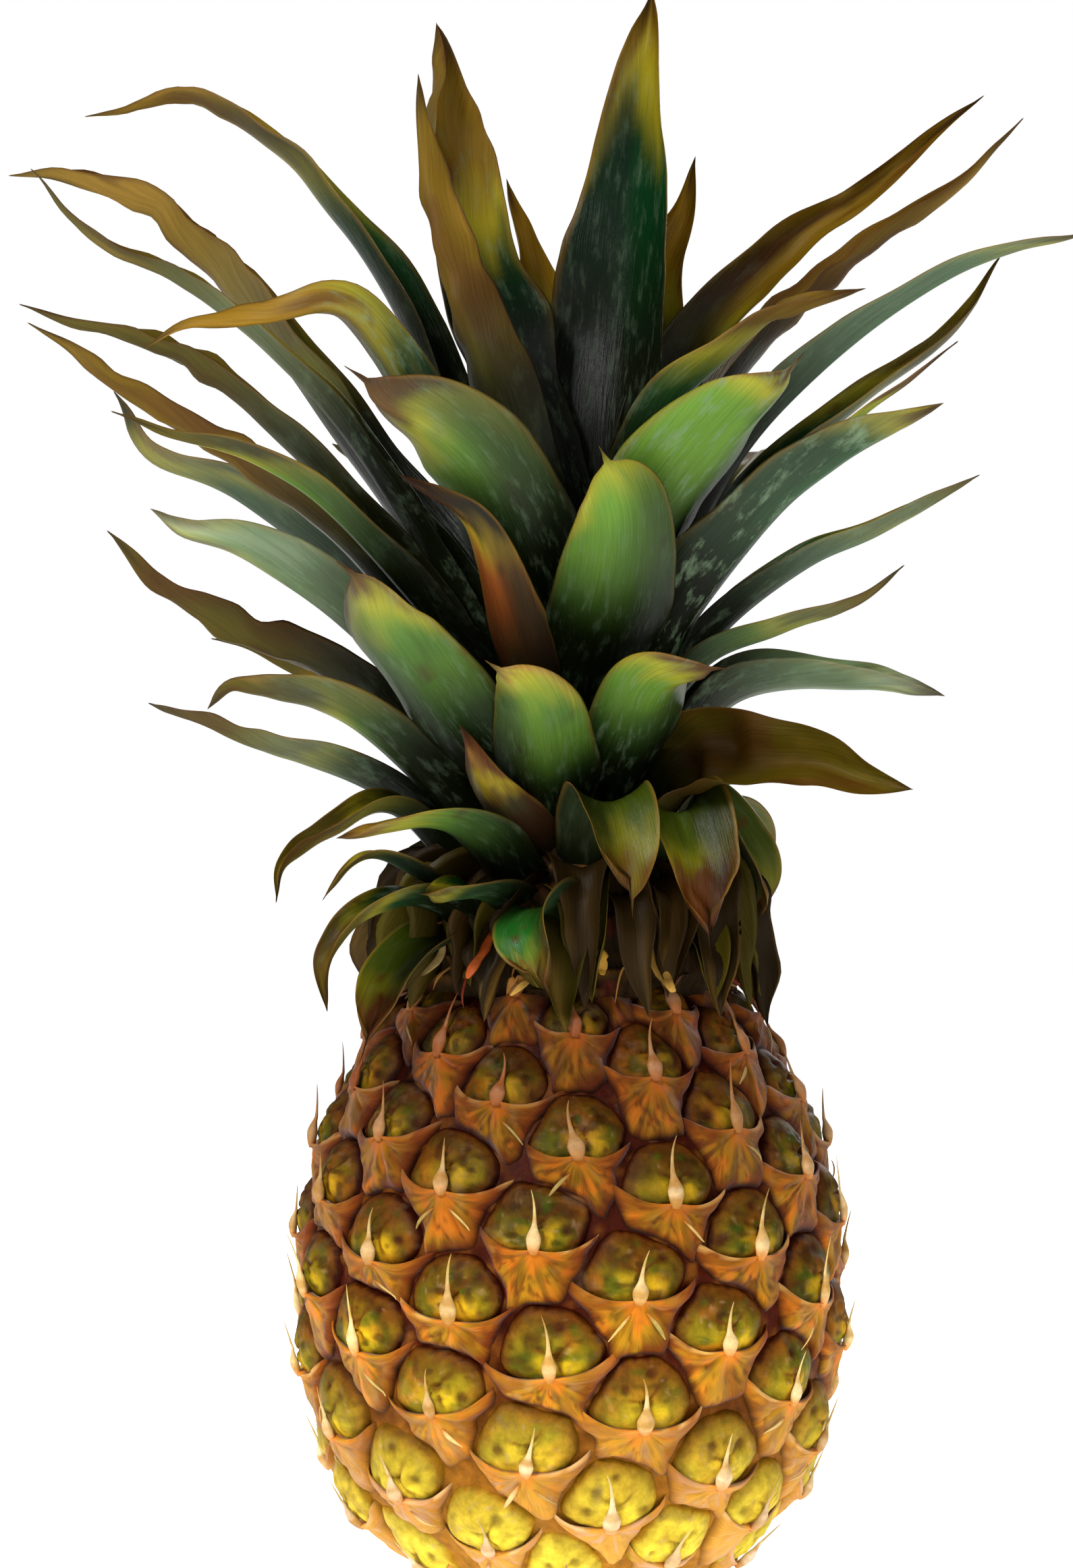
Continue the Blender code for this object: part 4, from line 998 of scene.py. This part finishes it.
def build_dry_skirt(skin):
    """Short dead leaves that hang round the crown's foot over the fruit's shoulder, each a small
    blade."""
    rows, half_round = 30, 7
    around = 2 * half_round - 2
    points, faces, colours, uvs, dryness = [], [], [], [], []
    for k in range(SKIRT_LEAVES):
        azimuth = GOLDEN_TURN * k + 20.0
        turned = math.radians(azimuth + 14.0 * (chance(k, 110) - 0.5))
        foot = 138.0 + 14.0 * chance(k, 111)
        start, side = stem_start(azimuth, foot, 2.0)
        out_x, out_y = math.cos(turned), math.sin(turned)
        belly = 33.0 + 5.0 * chance(k, 112)
        drop = 123.0 + 10.0 * chance(k, 113)
        away = np.interp(drop, FRUIT_Z, FRUIT_R) + 2.4 + 1.5 * chance(k, 114)
        route = (start, (0.8 * belly * out_x, 0.8 * belly * out_y, foot + 7.0),
                 (1.05 * belly * out_x, 1.05 * belly * out_y, foot + 3.0),
                 (away * out_x, away * out_y, drop))
        width = 15.0 + 9.0 * chance(k, 115)
        shape, ends, S, t, _, dried, length, half = blade(
            route, side, width, 0.3, 2.4, (0.0, 30.0), 0.3, 70 + k, rows=rows, half_round=half_round)
        flat = np.ones_like(S * t)
        frayed = step(0.1, 0.8, cloud(t * 4.0, S * 2.0, k * 3.3, 118)) * step(0.4, 0.9, S)
        # The dead leaves' near-black browns are partly their own colour and partly painted shade under the
        # crown.
        tint = coats(
            tone(28, 19, 3), (tone(46, 30, 5), chance(k, 116) * flat),
            (tone(76, 68, 10), 0.8 * step(0.35, 0.8, chance(k, 117)) * flat),
            (tone(128, 96, 40), 0.55 * frayed),
            # Painted shade: darker towards each dead leaf's foot, under the crown.
            (tone(18, 10, 3), step(0.6, 0.15, S) * np.ones_like(t)))
        start_index = sum(len(part) for part in points)
        points.append(np.vstack([shape.reshape(-1, 3), ends]))
        faces += blade_faces(rows, around, start_index)
        colours.append(np.vstack([tint.reshape(-1, 3), tint[0, :1], tint[-1, :1]]))
        uv = np.stack(np.broadcast_arrays(t * half + 20.0 * k, S * length), axis=-1).reshape(-1, 2)
        uvs.append(np.vstack([uv, uv[:1], uv[-1:]]))
        dryness.append(np.append(dried, [0.0, 1.0]))
    points, dryness = np.vstack(points), np.concatenate(dryness)
    made = add_piece("crown_dry_skirt", points, faces, skin, np.vstack(colours), uv=np.vstack(uvs),
                     extra={"bloom": np.zeros(len(points)), "dryness": dryness})
    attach(made, "root")


def build_shreds(skin):
    """Loose straw and fibres at the crown's foot: thin strands that start on the heap and droop or
    stick out."""
    rows = 12
    k = np.arange(STRANDS)[:, None]
    s = np.linspace(0.0, 1.0, rows)[None, :]
    turned = np.radians(GOLDEN_TURN * k + 40.0 * (chance(k, 120) - 0.5) + 26.0 * (chance(k, 121) - 0.5) * s)
    top = 133.0 + 15.0 * chance(k, 122)
    away = np.interp(top, [p[0] for p in FOOT_PROFILE], [p[1] for p in FOOT_PROFILE])
    length = 7.0 + 12.0 * chance(k, 123)
    sag = 0.35 + 0.75 * chance(k, 124)
    radius = away + length * (0.42 * s - 0.1 * s**2) + 1.0 * np.sin(5.0 * s + 6.0 * chance(k, 125))
    height = top + length * (0.2 * s - 0.8 * sag * s**2) + 0.6 * np.sin(7.0 * s + 5.0 * chance(k, 126))
    line = np.stack([radius * np.cos(turned), radius * np.sin(turned), height], axis=-1)
    side = np.stack([-np.sin(turned), np.cos(turned), 0.4 + 0.0 * turned], axis=-1)
    wide = (0.2 + 1.5 * chance(k, 127) ** 2) * (1.0 - s**3) ** 0.8 + 0.05
    straw = coats(tone(96, 54, 14), (tone(150, 112, 42), chance(k, 128) * np.ones_like(s)),
                  (tone(92, 28, 12), step(0.5, 0.8, chance(k, 129)) * np.ones_like(s)))
    # Darker where each strand starts on the heap: painted shade of the crown's heart.
    straw = mix(tone(34, 20, 6) * np.ones_like(straw), straw, step(0.1, 0.6, s) * np.ones_like(k * s))
    add_horns("crown_shreds", line, wide, 0.35 * wide, side, straw, skin, around=6)


def build_scraps(skin):
    """Torn papery bits among the dead leaf feet: short broad strips that lie outwards and curl up at
    the end."""
    rows = 10
    k = np.arange(SCRAPS)[:, None]
    s = np.linspace(0.0, 1.0, rows)[None, :]
    curl = 16.0 * (chance(k, 141) - 0.5) * s
    turned = np.radians(-97.0 + 20.0 * k + 12.0 * (chance(k, 140) - 0.5) + curl)
    top = 137.0 + 9.0 * chance(k, 142)
    drop = 5.0 + 7.0 * chance(k, 143)
    radius = 35.5 + (4.0 + 3.0 * chance(k, 144)) * s + 1.2 * np.sin(4.0 * s + 5.0 * chance(k, 145))
    height = top - drop * s + 3.2 * chance(k, 146) * s**3
    line = np.stack([radius * np.cos(turned), radius * np.sin(turned), height], axis=-1)
    tilt = 0.8 * (chance(k, 147) - 0.5) + 0.0 * turned
    side = np.stack([-np.sin(turned), np.cos(turned), tilt], axis=-1)
    wide = (0.7 + 1.5 * chance(k, 148)) * np.sin(math.pi * np.clip(0.1 + 0.85 * s, 0.0, 1.0)) ** 0.6
    wide = wide * (1.0 + 0.35 * cloud(s * 6.0, 0.0, k * 2.1, 149)) + 0.06
    stain = 0.7 * step(0.0, 0.8, cloud(s * 5.0, 0.0, k * 3.3, 152))
    flat = np.ones_like(s)
    paper = coats(tone(176, 150, 96), (tone(170, 122, 22), step(0.3, 0.7, chance(k, 150)) * flat),
                  (tone(150, 66, 20), step(0.7, 0.85, chance(k, 151)) * flat),
                  (tone(74, 44, 14), stain))
    add_horns("crown_scraps", line, wide, 0.18 * wide, side, paper, skin, around=8)


# ---------------------------------------------------------------- finishes

def fill_inputs(node, values):
    """Each named input of a shader node gets a number, a colour or another node's output."""
    for key, value in values.items():
        if isinstance(value, bpy.types.NodeSocket):
            node.id_data.links.new(value, node.inputs[key])
        else:
            node.inputs[key].default_value = value


def add_node(tree, kind, values=None, **settings):
    """One shader node, with its settings and its inputs."""
    made = tree.nodes.new(kind)
    for key, value in settings.items():
        setattr(made, key, value)
    fill_inputs(made, values or {})
    return made


def blend_colour(tree, amount, first, second, how="MIX"):
    """Two colours blended by an amount. The node has sockets of every kind, so the enabled ones are
    looked up."""
    made = add_node(tree, "ShaderNodeMix", data_type="RGBA", blend_type=how)
    for key, value in (("Factor", amount), ("A", first), ("B", second)):
        socket = [k for k in made.inputs if k.name == key and k.enabled][0]
        if isinstance(value, bpy.types.NodeSocket):
            tree.links.new(value, socket)
        else:
            socket.default_value = value
    return [k for k in made.outputs if k.enabled][0]


def remap(tree, value, low, high, to_low=0.0, to_high=1.0):
    """A value stretched from one range to another, and kept inside it."""
    return add_node(tree, "ShaderNodeMapRange", {"Value": value, "From Min": low, "From Max": high,
                                                 "To Min": to_low, "To Max": to_high}).outputs["Result"]


def painted(tree, name="tint", output="Color"):
    """What the mesh carries at each point under this name."""
    return add_node(tree, "ShaderNodeAttribute", attribute_name=name).outputs[output]


def noise(tree, where, scale, detail, roughness=0.5):
    """Smooth noise at a place."""
    values = {"Vector": where, "Scale": scale, "Detail": detail, "Roughness": roughness}
    return add_node(tree, "ShaderNodeTexNoise", values).outputs["Fac"]


def stretched(tree, where, scale):
    """A place scaled by its own amount each way, so that the noise on it makes streaks."""
    return add_node(tree, "ShaderNodeMapping", {"Vector": where, "Scale": scale}).outputs["Vector"]


def combined(tree, how, first, second):
    """Two values multiplied or added."""
    return add_node(tree, "ShaderNodeMath", {0: first, 1: second}, operation=how).outputs[0]


def raised(tree, height, strength, distance, over=None):
    """A bumped surface direction, over another one if that is given."""
    values = {"Height": height, "Strength": strength, "Distance": distance}
    if over is not None:
        values["Normal"] = over
    return add_node(tree, "ShaderNodeBump", values).outputs["Normal"]


def new_finish(name):
    """A fresh material, its node tree and its surface shader."""
    made = bpy.data.materials.new(name)
    made.use_nodes = True
    return made, made.node_tree, made.node_tree.nodes["Principled BSDF"]


def leaf_finish():
    """Waxy fibrous leaf: painted tints, fine streaks along the blade, frosty bloom patches, small brown
    specks."""
    made, tree, surface = new_finish("waxy_leaf")
    grain = add_node(tree, "ShaderNodeUVMap", uv_map="grain").outputs["UV"]
    fibre = noise(tree, stretched(tree, grain, (3.2, 0.06, 1.0)), 1.0, 3.0)
    patch = noise(tree, stretched(tree, grain, (0.5, 0.12, 1.0)), 1.0, 6.0, 0.65)
    speck = noise(tree, grain, 0.9, 4.0, 0.7)
    colour = blend_colour(tree, 1.0, painted(tree), remap(tree, fibre, 0.3, 0.7, 0.84, 1.16), "MULTIPLY")
    frost = combined(tree, "MULTIPLY", remap(tree, patch, 0.52, 0.72), painted(tree, "bloom", "Fac"))
    colour = blend_colour(tree, frost, colour, (0.13, 0.19, 0.11, 1.0))
    spots = combined(tree, "MULTIPLY", remap(tree, speck, 0.66, 0.74), 0.6)
    colour = blend_colour(tree, spots, colour, (0.07, 0.03, 0.01, 1.0))
    dry_rough = remap(tree, painted(tree, "dryness", "Fac"), 0.0, 1.0, 0.0, 0.22)
    rough = combined(tree, "ADD", remap(tree, patch, 0.3, 0.7, 0.26, 0.42), dry_rough)
    bump = raised(tree, patch, 0.25, 0.0008, raised(tree, fibre, 0.35, 0.0004))
    fill_inputs(surface, {"Base Color": colour, "Roughness": rough, "Normal": bump,
                          "Specular IOR Level": 0.09})
    return made


def rind_finish():
    """Leathery rind: painted eye tints broken up by fine mottling and pale scuffs."""
    made, tree, surface = new_finish("pineapple_rind")
    where = add_node(tree, "ShaderNodeTexCoord").outputs["Object"]
    mottle = noise(tree, where, 420.0, 5.0, 0.6)
    coarse = noise(tree, where, 150.0, 3.0)
    colour = blend_colour(tree, 1.0, painted(tree), remap(tree, mottle, 0.3, 0.7, 0.68, 1.3), "MULTIPLY")
    scuff = remap(tree, coarse, 0.60, 0.75, 0.0, 0.35)
    colour = blend_colour(tree, scuff, colour, (0.13, 0.085, 0.045, 1.0))
    fill_inputs(surface, {"Base Color": colour, "Roughness": remap(tree, coarse, 0.3, 0.7, 0.42, 0.62),
                          "Normal": raised(tree, mottle, 0.5, 0.0008), "Specular IOR Level": 0.05})
    return made


def bract_finish():
    """Papery bract: fine ribs that run out from the spike."""
    made, tree, surface = new_finish("papery_bract")
    grain = add_node(tree, "ShaderNodeUVMap", uv_map="grain").outputs["UV"]
    rib = noise(tree, stretched(tree, grain, (14.0, 0.25, 1.0)), 1.0, 3.0)
    colour = blend_colour(tree, 1.0, painted(tree), remap(tree, rib, 0.3, 0.7, 0.78, 1.2), "MULTIPLY")
    fill_inputs(surface, {"Base Color": colour, "Normal": raised(tree, rib, 0.5, 0.0006), "Roughness": 0.6,
                          "Specular IOR Level": 0.06, "Sheen Weight": 0.16, "Sheen Roughness": 0.35,
                          "Sheen Tint": (0.95, 0.82, 0.84, 1.0)})
    return made


def spike_finish():
    """Dry cream spike with a faint grain."""
    made, tree, surface = new_finish("dry_spike")
    grain = noise(tree, add_node(tree, "ShaderNodeTexCoord").outputs["Object"], 900.0, 3.0)
    colour = blend_colour(tree, 1.0, painted(tree), remap(tree, grain, 0.3, 0.7, 0.82, 1.12), "MULTIPLY")
    fill_inputs(surface, {"Base Color": colour, "Roughness": 0.55, "Specular IOR Level": 0.15})
    return made


def foot_finish():
    """Dead leaf feet: painted browns with coarse upright fibres, quite dull."""
    made, tree, surface = new_finish("fibrous_foot")
    where = add_node(tree, "ShaderNodeTexCoord").outputs["Object"]
    fibre = noise(tree, stretched(tree, where, (700.0, 700.0, 110.0)), 1.0, 4.0)
    colour = blend_colour(tree, 1.0, painted(tree), remap(tree, fibre, 0.3, 0.7, 0.5, 1.5), "MULTIPLY")
    fill_inputs(surface, {"Base Color": colour, "Normal": raised(tree, fibre, 0.7, 0.001), "Roughness": 0.8,
                          "Specular IOR Level": 0.08})
    return made


# ---------------------------------------------------------------- stage

ROOM_LIGHT = 0.32  # light from the room, against the white of the backdrop
FLOOR_TONE = 0.95
FLOOR_HALF = 30.0  # metres
VIEW_FROM = (-0.0072, -1.3, 0.1744)  # the camera, metres
VIEW_HEIGHT = 0.3358  # metres seen from bottom to top at the object
SENSOR = 36.0  # millimetres along the frame's longer side, its height

# Lamps: place and width in metres, strength in watts
LAMPS = {"key": ((-0.8, -1.1, 1.3), 0.5, 32.0), "fill": ((0.9, -1.0, 0.5), 0.9, 4.0),
         "low_front": ((0.0, -1.2, 0.12), 0.7, 3.0), "behind": ((0.5, 1.2, 0.8), 0.9, 12.0)}
LAMPS_AIM = np.array([0.0, 0.0, 0.15])


def add_object(name, data, where=(0.0, 0.0, 0.0), turned=(0.0, 0.0, 0.0)):
    """A stage object in the scene."""
    made = bpy.data.objects.new(name, data)
    made.location = where
    made.rotation_euler = turned
    bpy.context.scene.collection.objects.link(made)
    return made


def build_floor():
    """A pale level floor. It glows by as much as the room's light leaves it short of white."""
    plane = bpy.data.meshes.new("studio_floor")
    half = FLOOR_HALF
    corners = [(-half, -half, 0.0), (half, -half, 0.0), (half, half, 0.0), (-half, half, 0.0)]
    plane.from_pydata(corners, [], [(0, 1, 2, 3)])
    white = bpy.data.materials.new("pale_floor")
    white.use_nodes = True
    fill_inputs(white.node_tree.nodes["Principled BSDF"], {
        "Base Color": (FLOOR_TONE, FLOOR_TONE, FLOOR_TONE, 1.0), "Roughness": 0.9,
        "Specular IOR Level": 0.0, "Emission Color": (1.0, 1.0, 1.0, 1.0),
        "Emission Strength": 1.0 - FLOOR_TONE * ROOM_LIGHT})
    plane.materials.append(white)
    add_object("studio_floor", plane)


def build_room():
    """A white room, dimmer as a light than as a backdrop, and soft round lamps turned to the object."""
    world = bpy.data.worlds.new("studio")
    world.use_nodes = True
    seen_directly = add_node(world.node_tree, "ShaderNodeLightPath").outputs["Is Camera Ray"]
    strength = remap(world.node_tree, seen_directly, 0.0, 1.0, ROOM_LIGHT, 1.0)
    fill_inputs(world.node_tree.nodes["Background"], {"Color": (1.0, 1.0, 1.0, 1.0), "Strength": strength})
    bpy.context.scene.world = world
    for name, (where, size, watts) in LAMPS.items():
        lamp = bpy.data.lights.new(name, "AREA")
        lamp.shape = "DISK"
        lamp.size = size
        lamp.energy = watts
        aim = LAMPS_AIM - np.array(where)
        tilt = math.atan2(math.hypot(aim[0], aim[1]), -aim[2])
        add_object(name, lamp, where, (tilt, 0.0, math.atan2(-aim[0], aim[1])))


def build_camera():
    """A level camera in front of the object."""
    seen = bpy.data.cameras.new("camera")
    seen.sensor_width = SENSOR
    seen.lens = -SENSOR * VIEW_FROM[1] / VIEW_HEIGHT
    bpy.context.scene.camera = add_object("camera", seen, VIEW_FROM, (math.radians(90.0), 0.0, 0.0))
    bpy.context.scene.view_settings.view_transform = "Standard"


build_floor()
build_room()
build_camera()
rind, bract, spike, leaf, core = rind_finish(), bract_finish(), spike_finish(), leaf_finish(), foot_finish()
build_rind(rind)
low_eyes = SHOWN[EYE_RUN[SHOWN] < MIDDLE_RUN]
high_eyes = SHOWN[EYE_RUN[SHOWN] >= MIDDLE_RUN]
build_domes("fruit_eyes_low", low_eyes, rind)
build_domes("fruit_eyes_high", high_eyes, rind)
build_bracts("fruit_bracts_low", low_eyes, bract)
build_bracts("fruit_bracts_high", high_eyes, bract)
build_spikes(spike)
build_flaps(spike)
build_crown_foot(core)
build_dry_skirt(leaf)
build_shreds(spike)
build_scraps(spike)
for number, (leaf_name, leaf_row) in enumerate(LEAVES.items()):
    build_leaf(leaf_name, leaf_row, number, leaf)
